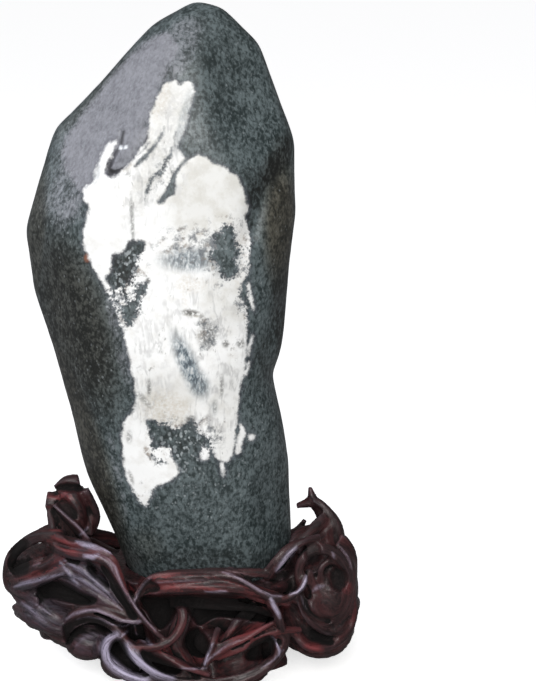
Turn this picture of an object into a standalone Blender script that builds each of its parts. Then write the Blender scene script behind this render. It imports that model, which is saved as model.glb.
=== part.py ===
"""Scholar's rock: a dark river stone standing upright in a carved root stand of dark wood.

Metres, +Z up. The origin is on the floor under the middle of the object, and the front faces -Y.
Run with: blender --background --python part.py
"""

import math

import bmesh
import bpy
import numpy as np
from mathutils import Matrix, Vector, noise

MM = 0.001

# The front is laid out in a picture plane, in mm: across to the right and up from the middle of the
# foot. The eye looks down on the object by VIEW_TILT, and the plane is VIEW_PLANE_FAR from it.
VIEW_TILT = math.radians(15)
VIEW_EYE = (43.25, -913.3, 420.1)
VIEW_PLANE_FAR = 946
VIEW_PLANE_MIDDLE = (43.25, 161.75)

# Moves the finished object so that the origin is under the middle of its box, in mm.
MOVE_TO_MIDDLE = (1.0, 0.13, 0)

# The stone's outline from the front, as (across, up), anticlockwise from its foot.
STONE_FRONT_OUTLINE = [
    (8, 35),
    (30, 35.5),
    (45, 42),
    (53.2, 52),
    (55, 64),
    (53.8, 101),
    (50.5, 123),
    (45.8, 145.5),
    (49.6, 156),
    (51, 164.5),
    (53.5, 200),
    (57.8, 227),
    (57.2, 262),
    (39.2, 310.5),
    (20.5, 329),
    (7, 332.5),
    (-14, 320.5),
    (-63.5, 268),
    (-78.4, 218.5),
    (-74.2, 188),
    (-64.5, 162),
    (-46.4, 97),
    (-31, 60.5),
    (-25.5, 45),
    (-12, 36),
]

# The stone's outline from its right side, as (y, z) in mm, anticlockwise from its foot.
STONE_SIDE_OUTLINE = [
    (0, 45),
    (18, 46),
    (27, 56),
    (32, 75),
    (36, 110),
    (39, 160),
    (43, 205),
    (43, 245),
    (38, 285),
    (27, 318),
    (12, 338),
    (1, 344),
    (-10, 338),
    (-26, 320),
    (-39, 285),
    (-46, 245),
    (-46, 205),
    (-42, 160),
    (-39, 110),
    (-34, 75),
    (-29, 58),
    (-20, 47),
]
CORNER_SOFTNESS = 3.2
SECTION_POWER = 2.35

# Flats worn into the stone: the way each faces, and how many mm it takes off the stone there.
STONE_FLATS = {
    "upper_left": ((-0.58, -0.66, 0.48), 8.0),
    "upper_right": ((0.55, -0.76, 0.34), 5.5),
    "right_side": ((0.80, -0.60, -0.05), 5.0),
    "left_side": ((-0.78, -0.60, -0.16), 4.5),
    "front": ((0.06, -0.99, 0.03), 3.5),
    "lower_front": ((-0.10, -0.95, -0.28), 2.5),
    "lower_left": ((-0.72, -0.56, -0.42), 3.0),
    "back": ((0.10, 0.99, 0.08), 5.0),
    "back_upper_left": ((-0.50, 0.70, 0.50), 6.0),
    "back_upper_right": ((0.52, 0.76, 0.40), 5.0),
    "back_lower_right": ((0.66, 0.70, -0.26), 4.0),
    "back_lower_left": ((-0.70, 0.66, -0.28), 4.0),
}
FLAT_SOFTNESS = 1.6

# Creases in the front: a path of (across, up), how wide the crease is, and how deep.
STONE_CREASES = {
    "right_fold": ([(62, 262), (50, 246), (40, 232), (34, 214)], 5.5, 4.2),
    "waist_fold": ([(56, 186), (46, 170), (42, 152), (50, 144)], 6.0, 2.4),
    "broken_lip": ([(-30, 266), (-34, 253), (-37, 247), (-30, 246), (-22, 252)], 2.4, 2.0),
}
CREASE_FADE_DEPTH = 12
SWELL_SIZE = 46.0
SWELL_DEPTH = 1.3

# The rings crowd towards both ends of the stone, apart from this share of their spacing.
STONE_RINGS = 42
STONE_SIDES = 42
STONE_RING_EVENNESS = 0.35

# The stand's body of wood under the stone, as (height, half width, half depth) in mm.
CORE_LEVELS = [
    (-4, 39, 34),
    (3, 39, 34),
    (12, 38, 31),
    (24, 37, 28),
    (36, 42, 31),
    (48, 48, 35),
    (57, 50, 37),
]
CORE_MIDDLE = (9, 0)
CORE_SIDES = 96
CORE_RINGS = 24

# Flutes round that body: how many, how deep as a share of its radius, and their lean per mm of height.
CORE_FLUTES = ((9, 0.060, 0.045), (5, 0.050, -0.080), (14, 0.025, 0.11))

# The outside of the stand's basket of roots, as an ellipse seen from above.
BASKET_HALF_WIDTH = 94
BASKET_HALF_DEPTH = 47
BASKET_MIDDLE = 2

# Roots on the stand's front. Each point is (across, up, out, half width) in mm: across and up in the
# picture plane, and out from the basket's outside. Last comes the number of strands.
FRONT_ROOTS = {
    "rail": ([
        (-21, 36, -1, 3), (-14, 39.3, 0, 4.8), (0, 40.3, 1, 5.4), (14, 40.3, 1, 5.4),
        (29, 38.5, 1, 5), (42, 34, 1, 4.2), (55, 31.5, 0, 3.4),
    ], 3),
    "rail_lip": ([
        (-25, 28.5, 1, 2.2), (-21, 36, 1.5, 2.3), (-16, 42.3, 1, 2.4), (-8, 44.6, 0, 2.8),
        (9, 45.4, -1, 3), (26, 45.8, -1, 3), (40, 45.4, -2, 3), (51, 43.5, -4, 2.8),
    ], 1),
    "rail_hook": ([
        (17, 44.5, 1, 1.8), (29, 42, 3, 2.2), (37, 37.5, 4, 2.3), (44, 33.2, 4.5, 2.4),
        (51, 32.6, 4.5, 2.4), (57.5, 35.5, 4.5, 2.4), (61.5, 40.5, 4, 2.2), (63, 45, 2, 1.6),
    ], 1),
    "rail_drop": ([
        (41, 36, 2, 2.2), (45.5, 29.5, 4, 3), (48.5, 23.5, 3.5, 3), (50.5, 16, 0, 2.6),
    ], 1),
    "rail_under": ([
        (-6, 31, -8, 3), (10, 31, -6, 3.8), (24, 29.5, -5, 4), (35, 28, -4, 3.8), (47, 25, -2, 3.2),
    ], 2),
    "left_sweep": ([
        (-68, 63.5, -3, 4), (-60, 59.5, 0, 5.4), (-51, 57, 2, 5.6), (-42, 55, 3, 4.8),
        (-35, 50.5, 3.5, 4), (-31, 43, 3.5, 3.4), (-28, 36, 3, 3.1), (-24.5, 30, 3, 3),
        (-19.5, 23, 3, 3), (-13.5, 16, 2, 3), (-7, 10.5, 0, 2.6),
    ], 2),
    "left_sweep_inner": ([
        (-50, 52, 0, 2.4), (-41, 50, 2, 2.8), (-36, 44, 2, 2.8), (-33, 37, 2, 2.6),
        (-28.5, 30, 2, 2.4), (-22, 23, 1, 2.2),
    ], 1),
    "left_leaf": ([
        (-64, 48, -3, 3.6), (-57, 44, -1, 5.6), (-50, 41, 0, 6.4), (-43, 36, 0, 6),
        (-36, 30.5, 0, 4.8), (-28.5, 25.5, 0, 3.4), (-20, 21.5, 0, 2.4),
    ], 3),
    "left_leaf_upper": ([
        (-61, 50, -2, 2.8), (-51, 48.5, 0, 3.6), (-43.5, 42.5, 0, 3.4), (-37, 36.5, 0, 3),
        (-31, 29, 0, 2.4),
    ], 1),
    "ear_rim": ([
        (-58, 64.5, -5, 3.6), (-70, 64, -1, 4), (-78, 60.5, 0, 4), (-84, 55, 0, 4),
        (-86.8, 48, 0, 4), (-86.5, 40, 0, 3.8), (-81, 35, -2, 3.4),
    ], 1),
    "ear_band": ([
        (-85.5, 43.5, 0, 3.6), (-76, 46.8, 1, 4.6), (-67, 50, 1, 4.6), (-58, 54.5, 0, 3.6),
    ], 3),
    "ear_lower_edge": ([
        (-85, 37.5, -1, 2.4), (-78.5, 39.6, 2, 3.2), (-71, 41.4, 3, 3.4), (-65, 44, 3, 3.2),
        (-59.5, 46.3, 3, 2.8), (-54, 44, 2, 2),
    ], 1),
    "left_back_hollow": ([
        (-72, 31, -6, 3.4), (-61, 30.8, -5, 4), (-53, 28.5, -4, 4), (-44, 27, -3, 3),
    ], 2),
    "low_left_arch": ([
        (-58, 20, -2, 2.6), (-51, 26, 1, 3.3), (-43.5, 28.2, 2, 3.5), (-36, 26, 2.5, 3.3),
        (-28.5, 22, 3, 3), (-20, 21, 3, 2.4),
    ], 2),
    "low_left_arch_inner": ([
        (-60, 12, -3, 2.6), (-54.5, 19.6, 0, 2.8), (-46, 23, 1, 3), (-38.5, 21.2, 2, 2.8),
        (-32, 16.8, 2, 2.8), (-27, 11, 1, 2.4),
    ], 1),
    "paw": ([
        (-83, 27.5, -3, 3.6), (-76.5, 26, -1, 6.4), (-70.5, 22.5, -1, 7.2), (-63.5, 18, -1, 6.6),
        (-56, 15, -2, 5.4),
    ], 3),
    "ring_left": ([
        (-30, 15.5, 1, 2.6), (-36, 11.5, 2, 3.2), (-38.2, 5, 2, 3.2), (-35.2, -1, 2, 3.2),
        (-28, -5.8, 2, 3.2), (-18.5, -8.5, 1, 3.2), (-7, -10, 0, 3),
    ], 1),
    "ring_inner": ([
        (-31, 14.5, 2, 2.6), (-27, 8, 3, 3.4), (-22.5, 3, 3.5, 3.5), (-17, -1.5, 3, 3.4),
        (-11, -5.5, 2, 3.2), (-3, -8.5, 0, 2.8),
    ], 1),
    "thread": ([
        (-29.5, 12.5, 2, 2.4), (-21, 8.5, 3, 2.8), (-13, 8.5, 3, 2.8), (-6, 11.5, 2, 2.8),
        (-1, 17.5, 0, 3), (0.5, 25, -3, 3.2), (-2, 31, -7, 3),
    ], 1),
    "low_sweep": ([
        (-23, 7, 1, 2.8), (-13.5, 4.5, 2, 3.6), (-5, 1.5, 2, 3.6), (4, -2, 2, 3.4),
        (14, -6, 1, 2.8),
    ], 2),
    "front_foot_rim": ([
        (-26, -6, 0, 3.2), (-8, -9, 0, 3.8), (9, -10.5, 0, 4), (24, -9.5, 0, 4), (37, -5, 0, 3.8),
        (45.5, 1.5, 0, 3.6), (50.5, 8.5, 0, 3.6), (51, 14, 0, 3.2), (45, 17, -1, 2.6),
    ], 3),
    "red_diagonal": ([
        (11, -1, 0, 2), (16, 5, 2, 2.8), (23.5, 9.8, 3, 3.1), (31.5, 13.2, 3, 3.1),
        (38, 16.6, 2, 3), (47, 21, 0, 2.6),
    ], 2),
    "red_diagonal_lower": ([
        (17, 3, 0, 2.4), (29, 7.6, 1, 3), (40, 13, 1, 3), (50, 16.5, 0, 2.8), (60, 17, -2, 2.8),
    ], 1),
    "short_upright": ([
        (11.5, -3, 1, 2), (14, 5.5, 2.5, 2.4), (16, 11, 2, 2.4), (18.5, 18, -4, 2.4),
    ], 1),
    "centre_upright": ([
        (4, 30, -10, 4), (0, 21, -7, 4.6), (-3, 12, -6, 4.8), (1, 3, -5, 4.2), (9, -5, -3, 3.4),
    ], 3),
    "centre_root": ([
        (38, 30, -8, 3), (30, 22, -7, 4.4), (22, 13, -6, 4.6), (14, 4, -5, 4),
    ], 2),
    "hole_lip": ([
        (42.5, 15.5, 0, 2.2), (46, 9.5, 1, 2.6), (46.5, 4, 1, 2.6), (42, -2, 0, 2.2),
    ], 1),
    "rim_by_stone": ([
        (42, 43.5, -3, 2.8), (47.5, 50.5, 0, 3.4), (53, 56.5, 0, 3.8), (60, 61, 0, 4.2),
        (69, 63, -2, 4),
    ], 2),
    "whorl": ([
        (71, 37, -3, 2.8), (65.5, 30.5, 1, 3.4), (67, 24.5, 2, 3.6), (74, 22, 2, 3.7),
        (80.5, 27.5, 2, 3.8), (83, 38, 2, 3.8), (81.5, 48, 2, 3.9), (76, 55.5, 2, 4),
        (68, 57.5, 2, 4), (61, 53, 1, 3.6), (58.5, 46, 0, 3.4), (59.5, 38, 0, 3.2),
        (57.5, 30, -1, 2.8),
    ], 1),
    "whorl_eye_lip": ([
        (69.5, 42, -1, 2.4), (70, 48.5, 0, 2.8), (75, 51.5, 0, 2.8), (80, 47.5, 0, 2.2),
    ], 1),
    "whorl_inner": ([
        (63, 48, -3, 3), (64.5, 41, -2, 3.2), (68, 35, -1, 3.2), (74, 31, -1, 3.2),
        (78, 35, -1, 2.8),
    ], 1),
    "whorl_fold": ([
        (59.5, 36, 0, 2.6), (61.5, 26.5, 1, 3.2), (67, 19, 1, 3.6), (74, 15.5, 1, 3.6),
        (82, 18, 0, 2.8),
    ], 2),
    "outer_shell": ([
        (78, 62, -4, 4.4), (83.8, 56.5, -1, 4.6), (86, 48, 0, 4.6), (86, 37, 0, 4.6),
        (86.3, 26.5, 0, 4.6), (83, 17, 0, 5), (75.5, 10.5, 0, 5), (68.5, 8.8, 0, 5),
        (62, 10.5, -1, 4.6), (57, 16, -3, 4),
    ], 2),
}

# The two horns that rise beside the stone, as (across, up, depth, half width), with depth from the middle.
HORN_ROOTS = {
    "left_trunk": ([
        (-53, 48, -12, 11), (-55, 60, -10, 11.2), (-55.5, 70, -8, 11.4), (-56, 79, -8, 11.4),
        (-55.5, 86, -7, 9.4), (-54.5, 92, -6, 5),
    ], 3),
    "left_nub": ([
        (-58, 80.5, -10, 6.4), (-67.8, 82, -11, 5),
    ], 1),
    "left_lobe": ([
        (-50, 88, -9, 6), (-47, 80, -9, 6), (-44.5, 73, -9, 5.6), (-45.5, 65, -10, 5),
    ], 2),
    "left_crown": ([
        (-62, 86.5, -10, 4.6), (-57, 90.5, -9, 5), (-51, 92, -8, 4),
    ], 1),
    "left_crease": ([
        (-63, 80, -17, 2.4), (-57, 73, -21, 2.8), (-51, 66, -21, 3), (-46, 60, -20, 2.6),
    ], 1),
    "left_stem_edge": ([
        (-66, 78, -12, 2.4), (-65, 71, -17, 2.8), (-63.5, 64, -21, 3), (-56, 58, -26, 2.8),
    ], 1),
    "left_horn_back": ([
        (-50, 46, 8, 9), (-53, 58, 4, 8), (-55, 70, -1, 6),
    ], 2),
    "left_back_rim": ([
        (-52, 60, 8, 3), (-45, 60.5, 13, 3.2), (-37, 57.5, 18, 3.4), (-28, 54, 22, 3.6),
    ], 2),
    "right_base": ([
        (77, 38, -8, 9), (77.5, 50, -8, 9), (76, 61, -7, 9), (74.5, 70, -5, 7.6),
        (70, 77.5, -3, 6.2), (65, 82, -2, 5),
    ], 2),
    "right_tip_up": ([
        (66, 80.5, -2, 4.4), (64.2, 88.5, -2, 1.6),
    ], 1),
    "right_tip_left": ([
        (66, 81.5, -2, 4.4), (57.5, 79, -2, 2),
    ], 1),
    "right_throat": ([
        (73, 71, -6, 6), (67, 66, -10, 7), (61, 62, -15, 6.6), (56, 57, -20, 5),
    ], 3),
}

# Roots that run round the stand's two ends, as (x, y, z, half width) in mm.
END_ROOTS = {
    "left_upper_end": ([
        (-72, -30, 46, 4), (-85, -17, 47, 4.6), (-88.5, 0, 45, 4.8), (-85, 17, 40, 4.6),
        (-72, 30, 34, 4),
    ], 2),
    "left_middle_end": ([
        (-66, -34, 36, 4), (-79, -18, 33, 4.4), (-84, 0, 34, 4.6), (-80, 18, 30, 4.4),
        (-66, 34, 24, 4),
    ], 2),
    "left_lower_end": ([
        (-58, -32, 32, 3.6), (-71, -20, 27, 4.4), (-75, 0, 23, 4.8), (-70, 20, 19, 4.6),
        (-54, 36, 15, 4),
    ], 2),
    "right_upper_end": ([
        (76, -26, 54, 4), (84, -12, 55, 4.6), (85.5, 2, 52, 4.6), (80, 24, 42, 4),
    ], 2),
    "right_middle_end": ([
        (78, -31, 33, 4), (86, -14, 37, 4.6), (88, 0, 36, 4.8), (85, 16, 31, 4.6), (76, 32, 25, 4),
    ], 3),
    "right_lower_end": ([
        (76, -28, 30, 3.6), (83, -16, 25, 4.4), (85.5, 0, 21, 4.8), (81, 18, 16, 4.6),
        (68, 34, 12, 4),
    ], 2),
    "back_left_sweep": ([
        (-40, 40, 40, 3.4), (-28, 42, 30, 4), (-14, 44, 20, 4), (2, 45, 12, 4), (20, 44, 7, 3.6),
    ], 2),
    "back_right_sweep": ([
        (62, 36, 40, 3.4), (52, 40, 28, 4), (40, 43, 18, 4), (26, 45, 12, 3.6),
    ], 2),
    "back_middle_drop": ([
        (6, 42, 50, 3), (12, 46, 38, 3.6), (9, 46, 26, 3.6), (14, 45, 12, 3.4),
    ], 1),
}

# Rounded lumps of wood: (x, y, z) of the middle and the three half sizes, in mm.
LUMPS = {
    "left_shoulder": ((-50, 0, 42), (38, 34, 17)),
    "left_ear_back": ((-72, -1, 54), (19, 20, 12)),
    "left_ear_boss": ((-74, -20, 57), (9, 9, 9)),
    "left_low_boss": ((-48, -25, 24), (12, 11, 9.5)),
    "left_low_boss_back": ((-48, 25, 22), (12, 11, 10)),
    "left_keel": ((-46, 0, 26), (30, 28, 15)),
    "left_ring_back": ((-31, -27, 14), (11, 11, 9)),
    "right_shoulder": ((66, -1, 34), (24, 28, 25)),
    "right_low_boss": ((70, -14, 25), (17, 16, 14)),
    "right_low_boss_back": ((70, 12, 20), (17, 15, 14)),
    "right_upper_boss": ((69, -7, 60), (15, 16, 12)),
    "knot": ((-20.5, -46, 28.5), (5.5, 5.5, 5.5)),
    "mauve_boss": ((15, -34, 28), (9, 8, 7)),
    "whorl_knob": ((69, -33, 47), (4.6, 5, 4.6)),
}

# The ring of wood round the stone's foot: its middle (x, y), half width, half depth, height and radius.
SEAT_RING = {"middle": (12, -1), "half_width": 46, "half_depth": 36, "height": 55.5, "radius": 4.4}
SEAT_RING_POINTS = 24

# The front's lower roots run round the back as well, mirrored in the middle plane.
BACK_ROOTS = [
    "rail",
    "rail_lip",
    "rail_hook",
    "rail_drop",
    "rail_under",
    "low_left_arch",
    "low_left_arch_inner",
    "ring_left",
    "ring_inner",
    "thread",
    "low_sweep",
    "front_foot_rim",
    "red_diagonal",
    "red_diagonal_lower",
    "short_upright",
    "centre_upright",
    "centre_root",
    "hole_lip",
]

# These have a twin at the back, lower by BACK_DROP for each mm of depth, so that the front hides it. The
# drop is in full from this height up, and fades to none at the floor.
BACK_DROP = 2.3 * math.tan(VIEW_TILT)
BACK_FULL_DROP_FROM = 60
TWINNED_ROOTS = [
    "left_sweep",
    "left_leaf",
    "left_leaf_upper",
    "ear_rim",
    "ear_band",
    "ear_lower_edge",
    "paw",
    "rim_by_stone",
    "whorl",
    "whorl_eye_lip",
    "whorl_inner",
    "whorl_fold",
    "outer_shell",
]

ROOT_SIDES = 12
ROOT_STEP = 2.0
ROOT_THICKNESS = 0.85
CREST_POWER = 1.6
OUTWARD_FROM = (9, 0, 30)
OUTWARD_WEIGHTS = (0.6, 1.6, 0.3)

# In a bundle, each strand's distance from the middle and its radius, as shares of the half width.
STRAND_REACH = 0.55
STRAND_FLATNESS = 0.6
STRAND_SIZE = 0.58
STRAND_TURNS = 0.35
STAND_VOXEL = 1.25
STAND_SMOOTHING = 2
STAND_TRIANGLES = 5450
SEAT_GAP = 0.35
FLOOR_BLOCK = (400, 400, 100)

STONE_COLOUR = (0.055, 0.066, 0.068, 1)
WOOD_COLOUR = (0.060, 0.026, 0.024, 1)


def rounded_outline(points, softness):
    """A closed outline, resampled every millimetre, with its corners rounded off by averaging."""
    corners = np.array(points + points[:1], float)
    lengths = np.hypot(*np.diff(corners, axis=0).T)
    along = np.concatenate([[0], np.cumsum(lengths)])
    at = np.arange(0, along[-1], 1.0)
    line = np.stack([np.interp(at, along, corners[:, k]) for k in range(2)], axis=1)
    for _ in range(int(2 * softness**2)):
        line = (np.roll(line, 1, axis=0) + 2 * line + np.roll(line, -1, axis=0)) / 4
    return line


def two_edges(line):
    """An outline's low and high edges, each as (heights, places), with heights from 0 to 1."""
    line = np.roll(line, -int(line[:, 1].argmin()), axis=0)
    top = int(line[:, 1].argmax())
    heights = (line[:, 1] - line[:, 1].min()) / np.ptp(line[:, 1])
    rising = (heights[: top + 1], line[: top + 1, 0])
    falling = (heights[top:][::-1], line[top:, 0][::-1])
    edges = []
    for height, place in (falling, rising):
        order = np.argsort(height, kind="stable")
        edges.append((height[order], place[order]))
    return edges


def seen_at(across, up, depth):
    """The place in mm, this deep from the middle, that the picture plane shows at across and up."""
    sideways = across - VIEW_PLANE_MIDDLE[0]
    upward = up - VIEW_PLANE_MIDDLE[1]
    cos, sin = math.cos(VIEW_TILT), math.sin(VIEW_TILT)
    along = (depth - VIEW_EYE[1]) / (VIEW_PLANE_FAR * cos + upward * sin)
    return (
        VIEW_EYE[0] + sideways * along,
        VIEW_EYE[1] + (VIEW_PLANE_FAR * cos + upward * sin) * along,
        VIEW_EYE[2] + (upward * cos - VIEW_PLANE_FAR * sin) * along,
    )


def picture_of(points):
    """Where the picture plane shows places given in mm, as (across, up) rows."""
    cos, sin = math.cos(VIEW_TILT), math.sin(VIEW_TILT)
    from_eye = points - np.array(VIEW_EYE)
    far = from_eye[:, 1] * cos - from_eye[:, 2] * sin
    upward = from_eye[:, 1] * sin + from_eye[:, 2] * cos
    return np.stack(
        [
            VIEW_PLANE_MIDDLE[0] + from_eye[:, 0] * VIEW_PLANE_FAR / far,
            VIEW_PLANE_MIDDLE[1] + upward * VIEW_PLANE_FAR / far,
        ],
        axis=1,
    )


def distance_to_path(places, path):
    """How far rows of (across, up) are from a path of (across, up)."""
    nearest = np.full(len(places), 1e9)
    for start, end in zip(np.array(path, float), np.array(path[1:], float)):
        step = end - start
        share = np.clip((places - start) @ step / (step @ step), 0, 1)
        nearest = np.minimum(nearest, np.linalg.norm(places - start - share[:, None] * step, axis=1))
    return nearest


def wear_flats(points):
    """Takes each of the stone's flats off its points, with soft edges."""
    for facing, bite in STONE_FLATS.values():
        normal = np.array(facing) / np.linalg.norm(facing)
        reach = points @ normal
        over = reach - (reach.max() - bite)
        taken = FLAT_SOFTNESS * np.logaddexp(0, over / FLAT_SOFTNESS)
        points = points - taken[:, None] * normal
    return points


def press_creases(points):
    """Presses the creases into the front half of the stone."""
    depth = np.zeros(len(points))
    places = picture_of(points)
    for path, width, deep in STONE_CREASES.values():
        gap = distance_to_path(places, path)
        depth = np.maximum(depth, deep * np.exp(-((gap / width) ** 2)))
    front = np.clip(-points[:, 1] / CREASE_FADE_DEPTH, 0, 1)
    points[:, 1] += depth * front
    return points


def swell(points):
    """Makes the stone's surface gently uneven."""
    outward = points - points.mean(axis=0)
    outward[:, 2] *= 0.2
    outward /= np.linalg.norm(outward, axis=1)[:, None]
    amounts = [noise.noise(Vector(p) / SWELL_SIZE) for p in points]
    return points + SWELL_DEPTH * np.array(amounts)[:, None] * outward


def stone_points():
    """The stone's surface, ring by ring from its foot, with a single point at each end."""
    front_outline = [seen_at(across, up, 0)[::2] for across, up in STONE_FRONT_OUTLINE]
    line = rounded_outline(front_outline, CORNER_SOFTNESS)
    low, high = line[line[:, 1].argmin()], line[line[:, 1].argmax()]
    share = (np.arange(STONE_RINGS) + 0.5) / STONE_RINGS
    crowded = (1 - np.cos(math.pi * share)) / 2
    share = STONE_RING_EVENNESS * share + (1 - STONE_RING_EVENNESS) * crowded
    side_line = rounded_outline(STONE_SIDE_OUTLINE, CORNER_SOFTNESS)
    left, right = (np.interp(share, *edge) for edge in two_edges(line))
    front, back = (np.interp(share, *edge) for edge in two_edges(side_line))
    angles = 2 * math.pi * np.arange(STONE_SIDES) / STONE_SIDES
    cos, sin = np.cos(angles), np.sin(angles)
    bulge_x = np.sign(cos) * np.abs(cos) ** (2 / SECTION_POWER)
    bulge_y = np.sign(sin) * np.abs(sin) ** (2 / SECTION_POWER)
    x = (left + right)[:, None] / 2 + (right - left)[:, None] / 2 * bulge_x
    y = np.where(bulge_y < 0, -front[:, None] * bulge_y, back[:, None] * bulge_y)
    z = np.broadcast_to((low[1] + share * (high[1] - low[1]))[:, None], x.shape)
    rings = np.stack([x, y, z], axis=2).reshape(-1, 3)
    ends = np.array([[low[0], 0, low[1]], [high[0], 0, high[1]]])
    return swell(press_creases(wear_flats(np.vstack([rings, ends]))))


def stone_faces():
    """Quads between the stone's rings, and a fan of triangles at each end."""
    faces = []
    foot, top = STONE_RINGS * STONE_SIDES, STONE_RINGS * STONE_SIDES + 1
    last = (STONE_RINGS - 1) * STONE_SIDES
    for side in range(STONE_SIDES):
        beside = (side + 1) % STONE_SIDES
        faces.append((beside, side, foot))
        faces.append((last + side, last + beside, top))
        for ring in range(STONE_RINGS - 1):
            low, high = ring * STONE_SIDES, (ring + 1) * STONE_SIDES
            faces.append((low + side, low + beside, high + beside, high + side))
    return faces


def in_row(place):
    """A place in mm, moved to the object's own middle and turned into metres."""
    return (Vector(place) + Vector(MOVE_TO_MIDDLE)) * MM


def mesh_object(name, points, faces, material=None):
    """An object from points in mm and faces."""
    mesh = bpy.data.meshes.new(name)
    mesh.from_pydata([in_row(p) for p in points], [], faces)
    mesh.validate()
    if material:
        mesh.materials.append(material)
    made = bpy.data.objects.new(name, mesh)
    bpy.context.scene.collection.objects.link(made)
    return made


def plain_finish(name, colour, roughness):
    """A plain finish."""
    material = bpy.data.materials.new(name)
    material.use_nodes = True
    shader = material.node_tree.nodes["Principled BSDF"]
    shader.inputs["Base Color"].default_value = colour
    shader.inputs["Roughness"].default_value = roughness
    shader.inputs["Metallic"].default_value = 0
    material.diffuse_color = colour
    return material


def make_stone():
    """The stone, one solid."""
    finish = plain_finish("river_stone", STONE_COLOUR, 0.5)
    stone = mesh_object("stone", stone_points(), stone_faces(), finish)
    stone.data.shade_smooth()
    return stone


def on_basket(across, up, out):
    """The place in mm on the basket's outside that the picture plane shows at across and up."""
    place = seen_at(across, up, 0)
    for _ in range(6):
        share = min(1.0, abs(place[0] - BASKET_MIDDLE) / (BASKET_HALF_WIDTH + out))
        place = seen_at(across, up, -(BASKET_HALF_DEPTH + out) * math.sqrt(1 - share**2))
    return place


def smooth_path(points, step):
    """Points every step or so along a smooth curve through rows of (x, y, z, half width)."""
    rows = np.array(points, float)
    padded = np.vstack([2 * rows[0] - rows[1], rows, 2 * rows[-1] - rows[-2]])
    found = []
    for a, b, c, d in zip(padded, padded[1:], padded[2:], padded[3:]):
        count = max(2, int(np.linalg.norm(c[:3] - b[:3]) / step))
        square, cube = 2 * a - 5 * b + 4 * c - d, 3 * b - a - 3 * c + d
        for t in np.arange(count) / count:
            found.append(b + (c - a) * t / 2 + square * t**2 / 2 + cube * t**3 / 2)
    found.append(rows[-1])
    return np.array(found)


def facing_out(places):
    """For each place on a root, the way the outside of the stand faces there."""
    out = (places[:, :3] - OUTWARD_FROM) * OUTWARD_WEIGHTS
    return out / np.linalg.norm(out, axis=1)[:, None]


def cross_section():
    """A unit cross-section with a soft crest along each side."""
    angles = 2 * math.pi * np.arange(ROOT_SIDES) / ROOT_SIDES
    cos, sin = np.cos(angles), np.sin(angles)
    across = np.sign(cos) * np.abs(cos) ** (2 / CREST_POWER)
    out = np.sign(sin) * np.abs(sin) ** (2 / CREST_POWER) * ROOT_THICKNESS
    return across, out


def strand_mesh(path, shift, size):
    """Points and faces of one strand: shift is its place in the bundle at each point, size its radius."""
    tangent = np.gradient(path[:, :3], axis=0)
    tangent /= np.linalg.norm(tangent, axis=1)[:, None]
    out = facing_out(path)
    out -= (out * tangent).sum(axis=1)[:, None] * tangent
    out /= np.linalg.norm(out, axis=1)[:, None]
    side = np.cross(tangent, out)
    middle = path[:, :3] + shift[:, :1] * side + shift[:, 1:] * out
    across, proud = cross_section()
    points = middle[:, None] + size[:, None, None] * (
        across[None, :, None] * side[:, None] + proud[None, :, None] * out[:, None]
    )
    faces = []
    for ring in range(len(path) - 1):
        for k in range(ROOT_SIDES):
            beside = (k + 1) % ROOT_SIDES
            low, high = ring * ROOT_SIDES, (ring + 1) * ROOT_SIDES
            faces.append((low + k, high + k, high + beside, low + beside))
    faces.append(tuple(range(ROOT_SIDES)))
    faces.append(tuple(len(path) * ROOT_SIDES - 1 - k for k in range(ROOT_SIDES)))
    return points.reshape(-1, 3), faces


def root_strands(places, strands):
    """The strands of one root: a single round one, or a bundle that turns slowly on itself."""
    path = smooth_path(places, ROOT_STEP)
    if strands == 1:
        return [strand_mesh(path, np.zeros((len(path), 2)), path[:, 3])]
    turn = 2 * math.pi * STRAND_TURNS * np.linspace(0, 1, len(path))
    made = []
    for k in range(strands):
        angle = 2 * math.pi * k / strands + turn
        reach = path[:, 3] * STRAND_REACH
        shift = np.stack([reach * np.cos(angle), STRAND_FLATNESS * reach * np.sin(angle)], axis=1)
        made.append(strand_mesh(path, shift, path[:, 3] * STRAND_SIZE))
    return made


def mirrored(places):
    """The same places, at the same height behind the middle plane."""
    return [(x, -y, z, size) for x, y, z, size in places]


def lowered(places):
    """The same places behind the middle plane, lower the higher they were, so that the front hides them."""
    found = []
    for x, y, z, size in places:
        drop = BACK_DROP * abs(y) * min(1, z / BACK_FULL_DROP_FROM)
        found.append((x, -y, z - drop, size))
    return found


def all_roots():
    """Every root's places in mm and its number of strands, by name."""
    roots = {}
    for name, (points, strands) in FRONT_ROOTS.items():
        roots[name] = ([(*on_basket(a, up, out), size) for a, up, out, size in points], strands)
    for name, (points, strands) in HORN_ROOTS.items():
        roots[name] = ([(*seen_at(a, up, depth), size) for a, up, depth, size in points], strands)
    for name in BACK_ROOTS:
        roots[f"back_{name}"] = (mirrored(roots[name][0]), roots[name][1])
    for name in TWINNED_ROOTS:
        roots[f"far_{name}"] = (lowered(roots[name][0]), roots[name][1])
    roots.update(END_ROOTS)
    return roots


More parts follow.
